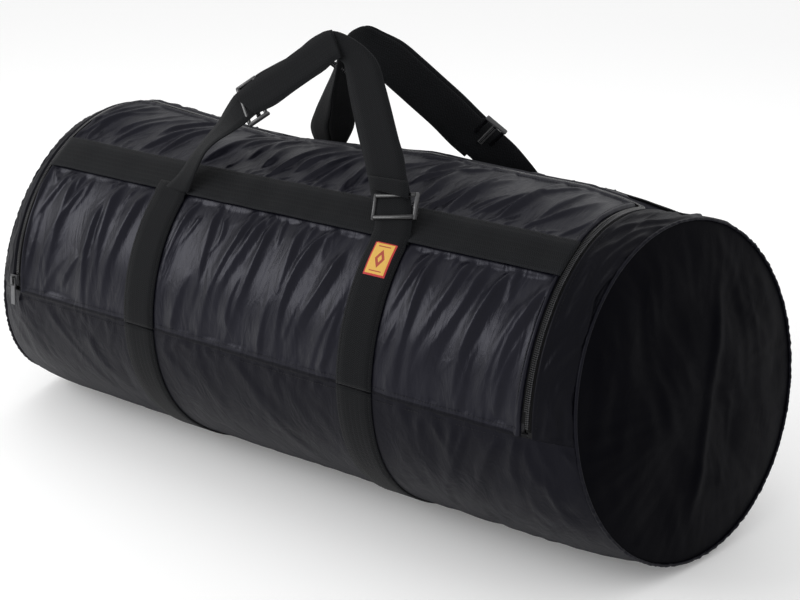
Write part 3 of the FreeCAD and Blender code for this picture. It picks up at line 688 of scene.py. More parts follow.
# Families of folds, in metres and degrees: how many, where along the bag, how far each runs (down when
# negative), how far it leans, and its width, height and sway.
FOLD_SETS = {
    "hanging": dict(seed=11, count=29, x_range=(-0.42, 0.46), length=(-0.26, -0.14), lean=(5.0, 22.0),
                    width=(0.014, 0.027), height=(0.0075, 0.0125), sway=0.009),
    "short hanging": dict(seed=12, count=40, x_range=(-0.40, 0.42), length=(-0.090, -0.035),
                          lean=(4.0, 26.0), width=(0.006, 0.012), height=(0.0030, 0.0055)),
    "rising": dict(seed=13, count=18, x_range=(-0.46, 0.40), length=(0.08, 0.20), lean=(6.0, 34.0),
                   width=(0.013, 0.026), height=(0.004, 0.0080), sway=0.009),
    "fanning": dict(seed=15, count=34, x_range=(-0.44, 0.40), length=(0.09, 0.24), lean=(10.0, 38.0),
                    width=(0.009, 0.020), height=(0.0060, 0.0110), sway=0.009),
    "fan roots": dict(seed=16, count=52, x_range=(-0.42, 0.40), length=(0.02, 0.06), lean=(0.0, 34.0),
                      width=(0.004, 0.009), height=(0.002, 0.005)),
    "lower pulls": dict(seed=21, count=24, x_range=(-0.52, 0.40), length=(-0.20, -0.06),
                        lean=(-42.0, -14.0), width=(0.012, 0.030), height=(0.0012, 0.0034)),
    "lower short": dict(seed=22, count=60, x_range=(-0.48, 0.48), length=(-0.055, -0.014),
                        lean=(-25.0, 15.0), width=(0.004, 0.010), height=(0.0010, 0.0034)),
    "lower busy": dict(seed=23, count=16, x_range=(0.20, 0.50), length=(-0.16, -0.05), lean=(-40.0, 30.0),
                       width=(0.010, 0.022), height=(0.003, 0.0070)),
    "back above": dict(seed=41, count=46, x_range=(-0.47, 0.47), length=(-0.11, -0.03), lean=(-30.0, 12.0),
                       width=(0.007, 0.017), height=(0.003, 0.0080)),
    "back below": dict(seed=42, count=44, x_range=(-0.47, 0.47), length=(0.06, 0.17), lean=(-26.0, 12.0),
                       width=(0.009, 0.022), height=(0.004, 0.0095)),
}


def spread(low, high, step):
    return np.linspace(low, high, max(2, int(round(abs(high - low) / step)) + 1))


def arc(theta):
    """Distance round the barrel, in metres, for an angle in degrees."""
    return theta / PER_METRE


def strap_mask(x, theta, front):
    """1 away from the straps, 0 where one presses the nylon flat."""
    away = np.abs(np.abs(x) - STRAP_X)
    reach = ease(away, WEB / 2 + 0.001, WEB / 2 + 0.022)
    if front:
        return np.where(theta < BAND_END, reach, 1.0)
    return reach


def band_mask(theta, low, high):
    """1 away from a band, 0 where it presses the nylon flat."""
    s, a, b = arc(theta), arc(low), arc(high)
    return 1.0 - ease(s, a - BAND_SOFT, a) * (1.0 - ease(s, b, b + BAND_SOFT))


def hem(distance):
    """Rounded fold at a cut edge: rises, then turns in at the very edge."""
    rise = HEM_HEIGHT * bump_at(distance, HEM_WIDTH * 1.15, HEM_WIDTH)
    return rise - HEM_TURN_IN * (1 - ease(distance, 0.0, 0.0016))


def fold_family(name, x, s, root):
    return fold_set(x, s, root, **FOLD_SETS[name])


def slack(x, s, seed, size, amount):
    """Small soft creases between the main folds."""
    return amount * (folds(x, s, 14.0, size, size * 3.6, seed, 2, 0.5, 0.05) - 0.66)


def seam_pucker(x, s, seed, height, tall, reach):
    """Close little gathers beside the front seam, fading over their reach."""
    wander = 0.5 * noise(x / 0.03, s / 0.02, 6)
    return height * (crease(x / 0.009 + wander, s / tall, seed) - 0.7) * np.exp(-np.abs(s) / reach)


def on_padding(lift):
    """Stops the nylon's hollows where they meet the padding."""
    over = lift - DEEPEST_HOLLOW
    return DEEPEST_HOLLOW + 0.5 * (over + np.sqrt(over * over + 0.000001))


def front_lift(x, theta):
    """Folds of the lid: long ones hanging from the band, gathers above it, puckers along the seam."""
    s = arc(theta)
    root, crown = arc(BAND_START), arc(BAND_END)
    hanging = fold_family("hanging", x, s, root)
    rising = fold_family("rising", x, s, 0.0)
    below = np.maximum(hanging, np.maximum(fold_family("short hanging", x, s, root), rising))
    below = below + 0.25 * np.minimum(hanging, rising) + 0.0045 * noise(x / 0.14, s / 0.11, 5)
    below = below + slack(x, s, 14, 0.026, 0.0011) - 0.0035 + seam_pucker(x, s, 31, 0.0022, 0.06, 0.010)
    above = np.maximum(fold_family("fanning", x, s, crown), fold_family("fan roots", x, s, crown))
    above = above + 0.004 * noise(x / 0.15, s / 0.09, 8) + slack(x, s, 17, 0.022, 0.0013)
    above = above - 0.0025 - 0.004 * bump_at(s, crown + 0.026, 0.022)
    lift = np.where(theta < (BAND_START + BAND_END) / 2, below, above)
    free = band_mask(theta, BAND_START, BAND_END) * strap_mask(x, theta, True)
    edge = np.minimum(lid_x - np.abs(x), arc(lid_edge - theta))
    lift = lift * free * (0.2 + 0.8 * ease(edge, 0.003, 0.022)) * ease(s, 0.0005, 0.014)
    return on_padding(lift) - 0.0008 * (1 - free) + hem(edge)


def lower_lift(x, theta):
    """Lower panel: nearly smooth, with slanting pulls from the seam and the straps, busier at the right."""
    s = arc(theta)
    right = ease(x, 0.19, 0.30)
    lift = np.maximum(fold_family("lower pulls", x, s, 0.0), fold_family("lower short", x, s, 0.0))
    lift = np.maximum(lift, fold_family("lower busy", x, s, -0.004) * right)
    lift = lift + 0.0026 * noise(x / 0.2, s / 0.13, 9) + slack(x, s, 24, 0.026, 0.0010 + 0.0012 * right)
    lift = lift - 0.0008 + seam_pucker(x, s, 32, 0.0020, 0.05, 0.009)
    resting = 0.15 + 0.85 * ease(np.abs(theta + 90.0), 14.0, 32.0)
    end = 0.3 + 0.7 * ease(SHELL_END - np.abs(x), 0.0, 0.02)
    return on_padding(lift * strap_mask(x, theta, False) * resting * ease(-s, 0.0005, 0.006) * end)


def rear_lift(x, theta):
    """Back panel: slack folds either side of its band."""
    s = arc(theta)
    band_high, band_low = 180 - BAND_END, 180 - BAND_START
    lift = np.where(theta < 125.0, fold_family("back above", x, s, arc(band_high)),
                    fold_family("back below", x, s, arc(band_low)))
    lift = lift + 0.004 * noise(x / 0.15, s / 0.11, 10) + slack(x, s, 43, 0.022, 0.0018) - 0.0025
    away = np.where(theta > band_high, strap_mask(x, theta, False), 1.0)
    under_lid = np.abs(x) < ZIP_LEG_X + 0.01
    edge = np.where(under_lid, arc(theta - ZIP_TOP) - NYLON_SETBACK, 1.0)
    end = 0.3 + 0.7 * ease(SHELL_END - np.abs(x), 0.0, 0.02)
    lift = lift * band_mask(theta, band_high, band_low) * away * (0.2 + 0.8 * ease(edge, 0.003, 0.022))
    lift = lift * end * ease(180.0 - theta, 0.2, 4.0)
    return on_padding(lift) + np.where(under_lid, hem(edge), 0.0)


def gusset_lift(x, theta):
    """Gussets: slanting folds between the zip and the round end."""
    s = arc(theta)
    lift = 0.0060 * (folds(x, s, 28.0, 0.034, 0.110, 121, 2, 0.45, 0.05) - 0.64)
    lift = lift + 0.0025 * noise(x / 0.05, s / 0.09, 122)
    edge = np.abs(x) - ZIP_LEG_X - NYLON_SETBACK
    end = ease(SHELL_END - np.abs(x), 0.0, 0.012)
    inner = ease(edge, 0.004, 0.02)
    return on_padding(lift * (0.2 + 0.8 * inner) * (0.15 + 0.85 * end) * ease(s, 0.0005, 0.01)) + hem(edge)


def panel(name, x_low, x_high, low, high, step, lift, material, node_name, body="bag_body"):
    """Nylon panel over a patch of the barrel."""
    xs = spread(x_low, x_high, step)
    thetas = spread(low, high, step * PER_METRE)
    x, theta = np.meshgrid(xs, thetas, indexing="ij")
    points = barrel(x, theta, lift(x, theta))
    piece = make_sheet(name, points, (x, arc(theta)), material, body, "shell_nylon")
    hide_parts(node_name)


rear_edge = ZIP_TOP + NYLON_SETBACK * PER_METRE
lid_edge = ZIP_TOP - NYLON_SETBACK * PER_METRE
lid_x = ZIP_LEG_X - NYLON_SETBACK
gusset_x = ZIP_LEG_X + NYLON_SETBACK
SEAM_GAP = 0.05

panel("lid_nylon", -lid_x, lid_x, SEAM_GAP, lid_edge, 0.0020, front_lift, NYLON, "lid_panel", "lid_flap")
# The lower panel wears the shaded nylon copy: its darker base colour is painted shade.
panel("lower_panel", -SHELL_END, SHELL_END, -180.0, -SEAM_GAP, 0.0042, lower_lift, SHADED_SMOOTH_NYLON,
      "bottom_shell")
panel("back_panel", -SHELL_END, SHELL_END, rear_edge, 180.0, 0.0036, rear_lift, NYLON, "rear_panel")
for side, sign in SIDES:
    low, high = sorted((sign * gusset_x, sign * SHELL_END))
    panel("gusset_cloth_" + side, low, high, SEAM_GAP, rear_edge, 0.0026, gusset_lift, GUSSET_NYLON,
          "gusset_" + side)


# Round ends.
END_CROWN = 0.016


def end_cloth(side, sign):
    """Domed round end, wrinkled near its rim."""
    rings, spokes = 60, 300
    share = np.linspace(0.0, 1.0, rings)[:, None] ** 0.8
    theta = np.linspace(-180.0, 180.0, spokes, endpoint=False)[None, :]
    origin, out, first, up = rim_frame(sign)
    a = theta * DEGREE
    across, upward = share * RIM_R * np.cos(a), share * RIM_R * np.sin(a)
    pulls = crease(theta / 9.0 + 0 * share, share * 1.4, 141, 0.1) - 0.7
    soft = 0.0055 * noise(across / 0.11, upward / 0.08, 143)
    soft = soft + 0.0016 * noise(across / 0.035, upward / 0.06, 144)
    long_fold = 0.0040 * bump_at(across + 0.35 * upward, -0.015, 0.010) * ease(0.8 - share, 0.0, 0.4)
    dent = 0.0045 * (folds(across, upward, 24.0, 0.060, 0.16, 147, 3, 0.5) - 0.65)
    height = END_CROWN * (1 - share ** 2.6) + (soft + long_fold + dent) * (1 - share ** 5)
    height = height + 0.0024 * pulls * share ** 3 * (1 - share ** 10)
    points = origin + across[..., None] * first + upward[..., None] * up + height[..., None] * out
    points[..., 2] = np.maximum(points[..., 2], 0.0012)
    uvs = np.stack([across, upward], axis=-1)
    faces = grid_faces(rings, spokes, wrap=True)
    if sign < 0:
        faces = [face[::-1] for face in faces]
    piece = make_object("end_cloth_" + side, points.reshape(-1, 3), faces, uvs.reshape(-1, 2), SHADED_END_NYLON,
                        "bag_body", "end_nylon")
    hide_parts("end_panel_" + side)


def end_ridge(side, sign):
    """Folded seam ridge round an end, with its gathered roll."""
    count, around = 520, 8
    theta = np.linspace(-180.0, 180.0, count, endpoint=False)
    _, out, first, up = rim_frame(sign)
    radial = np.cos(theta * DEGREE)[:, None] * first + np.sin(theta * DEGREE)[:, None] * up
    sway = 0.0011 * noise(theta / 2.2, theta * 0, 151) + 0.0006 * noise(theta / 0.8, theta * 0, 152)
    sway = sway[:, None]
    centre = rim_point(sign, theta) + radial * (0.0012 + sway) + out * (0.0006 + sway)
    rings = []
    for k in range(around):
        angle = 2 * math.pi * k / around
        rings.append(centre + 0.0024 * math.cos(angle) * out + 0.0018 * math.sin(angle) * radial)
    points = np.stack(rings, axis=1)
    points[..., 2] = np.maximum(points[..., 2], 0.0002)
    ring_faces = []
    for i in range(count):
        for j in range(around):
            k, n = (j + 1) % around, (i + 1) % count
            quad = (i * around + j, n * around + j, n * around + k, i * around + k)
            ring_faces.append(quad if sign < 0 else quad[::-1])
    uvs = np.stack(np.broadcast_arrays(arc(theta)[:, None], np.arange(around)[None] * 0.0015), axis=-1)
    piece = make_object("end_seam_" + side, points.reshape(-1, 3), ring_faces, uvs.reshape(-1, 2),
                        SHADED_SMOOTH_NYLON, "bag_body", "webbing")
    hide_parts("end_binding_" + side)


for side, sign in SIDES:
    end_cloth(side, sign)
    end_ridge(side, sign)


# Webbing on the barrel.
STITCH_INSET = WEB / 2 - 0.0028
BAND_MIDDLE = (BAND_START + BAND_END) / 2
STRAP_STEP_UP = 0.0024


def band_on_barrel(name, reach, theta, body, node_name):
    """Webbing that runs along the bag."""
    xs = spread(-reach, reach, 0.006)
    wave = 0.0014 * noise(xs / 0.034, xs * 0 + theta, 161)
    centre, _, up, out = frame_at(xs, np.full(len(xs), theta), STRAP_LIFT + wave)
    piece = make_object(name, *web_mesh(centre, up, out), WEBBING_CLOTH, body, "webbing")
    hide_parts(node_name)
    for row, offset in (("lower", -1), ("upper", 1)):
        line = centre + up * offset * STITCH_INSET + out * (WEB_THICK / 2)
        sew("%s_stitches_%s" % (name, row), line, out, body)


def strap_on_barrel(name, x, low, high, body, node_name, climb):
    """Webbing that runs round the bag and climbs over the end of a band."""
    thetas = spread(low, high, 0.005 * PER_METRE)
    lift = STRAP_LIFT + STRAP_STEP_UP * climb(thetas)
    centre, along, _, out = frame_at(np.full(len(thetas), x), thetas, lift)
    piece = make_object(name, *web_mesh(centre, along, out), WEBBING_CLOTH, body, "webbing")
    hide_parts(node_name)
    for row, offset in SIDES:
        line = centre + along * offset * STITCH_INSET + out * (WEB_THICK / 2)
        sew("%s_stitches_%s" % (name, row), line, out, body)


def lid_climb(theta):
    return ease(theta, BAND_START - 2.0, BAND_START - 0.6)


def girth_climb(theta):
    band_low = 180 - BAND_START + 0.6
    return ease(-(theta + 360.0), -band_low - 1.4, -band_low)


band_on_barrel("lid_band", lid_x + 0.002, BAND_MIDDLE, "lid_flap", "front_band")
band_on_barrel("back_band", SHELL_END - 0.003, 180 - BAND_MIDDLE, "bag_body", "rear_band")
for side, sign in SIDES:
    strap_on_barrel("lid_strap_web_" + side, sign * STRAP_X, 0.3, 51.0, "lid_flap", "lid_strap_" + side,
                    lid_climb)
    strap_on_barrel("girth_strap_web_" + side, sign * STRAP_X, -231.0, -0.3, "bag_body",
                    "girth_strap_" + side, girth_climb)


# Front seam: a gathered ridge of folded nylon with two rows of thread; the upper row goes with the lid.
def front_seam():
    xs = spread(-lid_x, lid_x, 0.003)
    profile = [(-0.75, 0.0000), (-0.35, 0.0005), (0.0, 0.0008), (0.35, 0.0006), (0.75, 0.0000)]
    x = np.repeat(xs[:, None], len(profile), axis=1)
    theta = np.array([p[0] for p in profile])[None] + 0.12 * noise(xs / 0.02, xs * 0, 171)[:, None]
    pucker = 1.0 + 0.5 * noise(xs / 0.006, xs * 0, 172)[:, None]
    covered = strap_mask(x, theta * 0 + 10.0, False)
    lift = np.array([p[1] for p in profile])[None] * pucker * covered - 0.0004 * (1 - covered)
    piece = make_sheet("front_seam_fold", barrel(x, theta, lift), (x, arc(theta)), GUSSET_NYLON, None,
                       "shell_nylon")
    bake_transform(piece)
    for row, angle, body in (("below", -2.0, "bag_body"), ("above", 2.0, "lid_flap")):
        centre, _, _, out = frame_at(xs, np.full(len(xs), angle), 0.0006)
        sew("front_seam_stitches_" + row, centre, out, body)


front_seam()


# Zip: woven tapes, toothed edges and the rows of thread beside them.
def zip_path(outward, offset, foot):
    """Line up the left leg, along the top and down the right leg, at a distance to one side of the join."""
    x_side = ZIP_LEG_X + outward * offset
    top = ZIP_TOP + outward * offset * PER_METRE
    corner_x, corner_t = x_side - ZIP_CORNER_R, top - ZIP_CORNER_R * PER_METRE
    xs, ts = [], []
    for theta in spread(foot, corner_t, 0.003 * PER_METRE):
        xs.append(-x_side)
        ts.append(theta)
    for angle in np.linspace(10, 80, 6) * DEGREE:
        xs.append(-corner_x - ZIP_CORNER_R * math.cos(angle))
        ts.append(corner_t + ZIP_CORNER_R * math.sin(angle) * PER_METRE)
    for x in spread(-corner_x, corner_x, 0.004):
        xs.append(x)
        ts.append(top)
    for angle in np.linspace(80, 10, 6) * DEGREE:
        xs.append(corner_x + ZIP_CORNER_R * math.cos(angle))
        ts.append(corner_t + ZIP_CORNER_R * math.sin(angle) * PER_METRE)
    for theta in spread(corner_t, foot, 0.003 * PER_METRE):
        xs.append(x_side)
        ts.append(theta)
    return np.array(xs), np.array(ts)


TAPE_POINTS = 900
TAPE_LENGTH = 1.55
TOOTH_PITCH = 0.0023
ZIP_CORNER_R = 0.010


def zip_tape(name, outward, foot, body, node_name):
    """Cloth tape beside the teeth, tucked under the nylon."""
    offsets = [0.0004, 0.0030, 0.0060, 0.0105]
    lifts = [-0.0010, -0.0010, -0.0013, -0.0018]
    lines = []
    for offset, lift in zip(offsets, lifts):
        xs, ts = zip_path(outward, offset, foot)
        run = np.linspace(0, 1, TAPE_POINTS)
        at = np.linspace(0, 1, len(xs))
        lines.append(barrel(np.interp(run, at, xs), np.interp(run, at, ts), np.full(TAPE_POINTS, lift)))
    points = np.stack(lines, axis=1)
    length = np.linspace(0, TAPE_LENGTH, TAPE_POINTS)
    piece = make_sheet(name, points, (length[:, None], np.array(offsets)[None]), ZIP_TAPE, body, "zip_tape")
    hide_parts(node_name)


def zip_teeth(name, outward, foot, body, node_name, shift):
    """Row of moulded teeth, each with a head that reaches between its neighbours."""
    xs, ts = zip_path(outward, 0.0013, foot)
    centre, _, _, out = frame_at(xs, ts, np.full(len(xs), 0.0002))
    run = run_along(centre)
    outline = [(-0.0013, -0.00058), (0.0006, -0.00052), (0.0012, -0.00082), (0.0020, -0.0006),
               (0.0020, 0.0006), (0.0012, 0.00082), (0.0006, 0.00052), (-0.0013, 0.00058)]
    parts = []
    for index in range(int((run[-1] - shift) / TOOTH_PITCH)):
        at = shift + index * TOOTH_PITCH
        p, n = point_on(centre, run, at), point_on(out, run, at)
        q = point_on(centre, run, at + 0.0005)
        ahead = (q - p) / np.linalg.norm(q - p)
        side = np.cross(n, ahead) * outward
        points = []
        for level, size in ((-0.0011, 1.0), (0.0009, 1.0), (0.0013, 0.8)):
            for a, b in outline:
                points.append(p + side * a * size + ahead * b * size + n * level)
        faces = grid_faces(3, 8, wrap=True) + [tuple(range(16, 24))]
        parts.append((np.array(points), faces, np.zeros((24, 2))))
    piece = make_object(name, *join_parts(parts), TEETH, body, "zip_teeth", smooth=False)
    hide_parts(node_name)


zip_tape("zip_tape_body", 1, 1.5, "bag_body", "body_zip_tape")
zip_tape("zip_tape_lid", -1, 4.0, "lid_flap", "lid_zip_tape")
zip_teeth("zip_teeth_body", 1, 2.2, "bag_body", "body_zip_teeth", 0.0)
zip_teeth("zip_teeth_lid", -1, 6.8, "lid_flap", "lid_zip_teeth", TOOTH_PITCH / 2)
for label, outward, foot, body in (("body", 1, 2.0, "bag_body"), ("lid", -1, 3.0, "lid_flap")):
    for row, offset in (("near", 0.0125), ("far", 0.0165)):
        xs, ts = zip_path(outward, offset, foot)
        lift = 0.0012 if row == "near" else 0.0006
        centre, _, _, out = frame_at(xs, ts, np.full(len(xs), lift))
        sew("zip_stitches_%s_%s" % (label, row), centre, out, body)


# Handles.
HANDLE_ROOT = 0.2215
ROOT_ANGLE = 50.0
LEAN = 29.2


def handle_frame(front):
    sign = -1.0 if front else 1.0
    up = np.array([0, -sign * math.sin(LEAN * DEGREE), math.cos(LEAN * DEGREE)])
    out = np.array([0, sign * math.cos(LEAN * DEGREE), math.sin(LEAN * DEGREE)])
    origin = np.array([0, sign * HANDLE_ROOT * math.cos(ROOT_ANGLE * DEGREE),
                       AXIS_Z + HANDLE_ROOT * math.sin(ROOT_ANGLE * DEGREE)])
    return origin, np.array([1.0, 0, 0]), up, out


def smooth_line(stations, step=0.004):
    """Steady curve through stations of numbers, with even steps."""
    keys = np.array(stations, float)
    gaps = np.linalg.norm(np.diff(keys[:, :3], axis=0), axis=1)
    at = np.concatenate([[0.0], np.cumsum(gaps)])
    count = max(6, int(at[-1] / step))
    run = np.linspace(0, at[-1], count)
    tangents = np.zeros_like(keys)
    tangents[1:-1] = (keys[2:] - keys[:-2]) / (at[2:] - at[:-2])[:, None]
    tangents[0] = (keys[1] - keys[0]) / gaps[0]
    tangents[-1] = (keys[-1] - keys[-2]) / gaps[-1]
    index = np.clip(np.searchsorted(at, run, side="right") - 1, 0, len(at) - 2)
    span = (at[index + 1] - at[index])[:, None]
    t = ((run - at[index])[:, None]) / span
    a, b = keys[index], keys[index + 1]
    ta, tb = tangents[index] * span, tangents[index + 1] * span
    t2, t3 = t * t, t * t * t
    return (2 * t3 - 3 * t2 + 1) * a + (t3 - 2 * t2 + t) * ta + (-2 * t3 + 3 * t2) * b + (t3 - t2) * tb


def edge_web(name, front, pairs, body, node_names, thickness=WEB_THICK):
    """Webbing through pairs of edge points in a handle's plane, in millimetres: (along, up, out) of one edge,
    then of the other. Its width follows the pairs, so it can fan round a fold."""
    origin, side, up, out = handle_frame(front)
    rows = np.array(pairs, float) * MM
    middle = (rows[:, :3] + rows[:, 3:]) / 2
    line = smooth_line(np.concatenate([middle, rows], axis=1), 0.003)
    near = origin + line[:, 3:4] * side + line[:, 4:5] * up + line[:, 5:6] * out
    far = origin + line[:, 6:7] * side + line[:, 7:8] * up + line[:, 8:9] * out
    centre = (near + far) / 2
    across = far - near
    width = np.linalg.norm(across, axis=1)
    across = across / width[:, None]
    ahead = np.gradient(centre, axis=0)
    normal = np.cross(across, ahead)
    normal = normal / np.linalg.norm(normal, axis=1, keepdims=True)
    piece = make_object(name, *web_mesh(centre, across, normal, width, thickness), WEBBING_CLOTH, body,
                        "webbing")
    if node_names:
        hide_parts(*node_names)
    return piece


# Front handle, in millimetres from its fold line: the left leg laps over the right one at the peak.
edge_web("front_web_left_lower", True, [
    (-62, 112, 1.2, -104, 134, 1.0), (-72, 105, 2.0, -115, 126, 0.4), (-84, 88, 5.6, -128, 108, -5.6),
    (-95, 75, 10.0, -137, 91, -10.0), (-112, 60, 11.5, -149, 71, -11.5), (-125, 44, 10.2, -157, 52, -9.0),
    (-132, 26, 6.5, -162, 34, -5.5), (-136, 10, 4.0, -168, 14, -3.0), (-140, -8, 1.0, -184, -8, -2.0)],
    "front_handle", ["front_leg_left"])
edge_web("front_web_left_upper", True, [
    (-72, 105, 4.8, -113, 122, 5.2), (-47, 119, 4.0, -90, 148, 4.4), (-24, 141, 3.4, -62, 170, 3.8),
    (-3, 160, 3.2, -40, 191, 3.6), (12, 173, 3.4, -20, 209, 3.8), (22, 185, 3.8, -8, 219, 4.2),
    (31, 191, 4.2, 4, 223, 4.6)], "front_handle", ["front_grip"])
edge_web("front_web_left_back", True, [
    (-70, 113, -3.6, -110, 137, -3.8), (-53, 128, -1.6, -94, 155, -1.8), (-28, 148, 0.2, -68, 172, 0.2),
    (-14, 160, 0.2, -46, 187, 0.2), (-2, 171, 0.6, -27, 208, 0.6), (12, 184, 0.6, -12, 219, 0.6),
    (27, 192, 0.8, 0, 223, 0.8)], "front_handle", [])
edge_web("front_web_right_upper", True, [
    (18, 190, 2.2, -3, 222, 2.4), (23, 189, 0.6, 12, 222.5, 1.2), (27, 188, -0.6, 32, 218, 0.0),
    (31, 186, -1.4, 57, 208, -0.8), (36, 181, -1.6, 80, 193, -1.2), (46, 166, -1.6, 97, 171, -1.2),
    (65, 137, -1.0, 115, 146, -0.4), (92, 97, 1.4, 143, 106, 1.6), (108, 72, 3.0, 160, 83, 3.2),
    (121, 54, 3.8, 180, 44, 4.2)], "front_handle", ["front_leg_right"])
edge_web("front_web_right_back", True, [
    (14, 196, -2.8, 6, 220, -3.0), (22, 192, -4.2, 36, 214, -4.4), (30, 186, -5.0, 66, 200, -5.0),
    (38, 172, -5.0, 86, 184, -4.8), (56, 142, -4.4, 106, 152, -4.2), (84, 100, -3.0, 134, 112, -2.8),
    (108, 66, -2.0, 157, 79, -1.8), (128, 34, -0.6, 178, 48, -0.4), (143, 8, -0.4, 193, 14, -0.4),
    (146, -14, -2.4, 196, -12, -2.4)], "front_handle", [])
# Turned-up end of the webbing under the slide.
edge_web("front_web_tail", True, [
    (120, 56, 5.8, 176, 58, 6.0), (124, 49, 6.6, 180, 49, 6.8), (130, 42, 6.4, 184, 38, 6.6)],
    "front_handle", [], 0.0018)


# Rear handle: its webbing is turned to face up and forward.
edge_web("rear_web_right_lower", False, [
    (122, 76, 19, 97, 58, -19), (143, 56, 19, 116, 38, -19), (161, 37, 18, 129, 17, -17),
    (181, 19, 11, 143, -5, -10), (197, 2, 5, 157, -22, -6)], "rear_handle", ["rear_leg_right"])
edge_web("rear_web_right_upper", False, [
    (-42, 192, 0, -43, 186, -1), (-34, 201, 2, -42, 180, -3), (-23, 208, 4, -38, 177, -6),
    (-9, 211, 9, -29, 174, -12), (8, 198, 14, -10, 168, -19), (29, 181, 18, 5, 161, -21),
    (52, 158, 17, 28, 138, -22), (75, 132, 17, 50, 113, -22), (97, 107, 17, 72, 88, -22),
    (119, 78, 17, 92, 60, -22), (135, 61, 16, 108, 43, -22)], "rear_handle", ["rear_grip"])
edge_web("rear_web_right_back", False, [
    (-24, 206, 6, -34, 180, 0), (-7, 209, 13, -22, 178, -5), (10, 196, 19, -8, 172, -12),
    (31, 181, 23, 9, 164, -15), (54, 158, 23, 32, 140, -16), (77, 132, 23, 54, 115, -16),
    (99, 107, 23, 76, 90, -16), (121, 78, 23, 96, 62, -16), (139, 60, 22, 114, 44, -16)], "rear_handle", [])
edge_web("rear_web_left_light", False, [
    (-44, 186, 1, -40, 190, -3), (-64, 162, 3, -58, 164, -5), (-88, 130, 5, -72, 136, -8),
    (-122, 88, 7, -92, 98, -10), (-152, 50, 8, -106, 68, -10), (-172, 18, 7, -121, 42, -9),
    (-168, -10, 1, -132, 4, -5)], "rear_handle", ["rear_leg_left"])
edge_web("rear_web_left_dark", False, [
    (-40, 190, -2.4, -34, 190, 2), (-58, 164, -4.4, -50, 158, 4), (-72, 136, -7.4, -62, 128, 6),
    (-92, 98, -9.4, -74, 88, 7), (-106, 68, -9.4, -82, 58, 8), (-121, 42, -8.4, -92, 32, 8),
    (-132, 4, -4.4, -118, -4, 2)], "rear_handle", [])


# Adjusters: three-bar slides with a ribbed middle bar.
def rounded_bar(start, end, wide, deep, wide_axis, deep_axis, around=10):
    """Bar with an oval section between two points."""
    rows = []
    for share, size in ((0.0, 0.72), (0.04, 1.0), (0.5, 1.0), (0.96, 1.0), (1.0, 0.72)):
        p = start + (end - start) * share
        for k in range(around):
            angle = 2 * math.pi * (k + 0.5) / around
            ca, sa = math.cos(angle), math.sin(angle)
            ca = math.copysign(abs(ca) ** 0.6, ca)
            sa = math.copysign(abs(sa) ** 0.6, sa)
            rows.append(p + wide_axis * wide / 2 * ca * size + deep_axis * deep / 2 * sa * size)
    faces = grid_faces(5, around, wrap=True)
    faces.append(tuple(range(around)))
    faces.append(tuple(4 * around + j for j in reversed(range(around))))
    return np.array(rows), faces, np.zeros((5 * around, 2))


def adjuster(name, front, centre, direction, body, node_name):
    """Frame with two side rails and three bars, where the webbing goes over and under."""
    origin, side, up, out = handle_frame(front)
    length = math.hypot(*direction)
    dx, dy = direction[0] / length, direction[1] / length
    along = side * dx + up * dy
    across = np.cross(along, out)
    middle = origin + side * centre[0] * MM + up * centre[1] * MM
    half_w, half_l = 0.0277, 0.0150
    parts = []
    for sign in (-1, 1):
        base = middle + across * sign * half_w
        parts.append(rounded_bar(base - along * 0.0158, base + along * 0.0158, 0.0040, 0.0066, across, out))
    for sign in (-1, 1):
        base = middle + along * sign * half_l * 0.86 + out * 0.0026
        parts.append(rounded_bar(base - across * half_w, base + across * half_w, 0.0052, 0.0024, along, out))
    base = middle - out * 0.0028
    parts.append(rounded_bar(base - across * half_w, base + across * half_w, 0.0056, 0.0024, along, out))
    for k in range(17):
        at = (k - 8) * 0.0029
        rib = base + across * at
        parts.append(rounded_bar(rib - along * 0.0031, rib + along * 0.0031, 0.0010, 0.0032, across, out, 6))
    piece = make_object(name, *join_parts(parts), PLASTIC, body, "adjuster_plastic")
    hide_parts(node_name)


def beside(start, end, distance):
    """Place a distance up a run from its start."""
    share = distance / math.hypot(end[0] - start[0], end[1] - start[1])
    return (start[0] + (end[0] - start[0]) * share, start[1] + (end[1] - start[1]) * share)


# Handle, side, the run it slides on from foot to top, and its distance up it, in millimetres.
ADJUSTERS = [
    ("front", "left", (-100.0, 108.0), (17.0, 210.0), 20.0),
    ("front", "right", (170.0, 2.0), (158.0, 64.0), 26.0),
    ("rear", "left", (-135.0, 50.0), (0.0, 203.0), 118.0),
    ("rear", "right", (150.0, 52.0), (0.0, 203.0), 20.0),
]
for handle, side_name, start, end, distance in ADJUSTERS:
    label = "%s_adjuster_%s" % (handle, side_name)
    adjuster(label + "_slide", handle == "front", beside(start, end, distance),
             (end[0] - start[0], end[1] - start[1]), label + "_body", label)


# Label on the right strap.
def label_piece():
    low, high, half = 35.0, 46.2, LABEL_HALF_WIDTH
    xs = np.linspace(-half, half, 13)
    ts = spread(low, high, 0.003 * PER_METRE)
    x, theta = np.meshgrid(xs, ts, indexing="ij")
    rim = np.minimum(half - np.abs(x), arc(np.minimum(theta - low, high - theta)))
    lift = STRAP_LIFT + WEB_THICK / 2 + 0.0002 + 0.0008 * ease(rim, 0.0, 0.0015)
    lift = lift + 0.0003 * noise(x / 0.01, arc(theta) / 0.012, 181)
    piece = make_sheet("strap_label", barrel(x + STRAP_X, theta, lift), (x, arc(theta - (low + high) / 2)),
                       LABEL, "lid_flap", "label")
    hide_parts("label_patch")


label_piece()


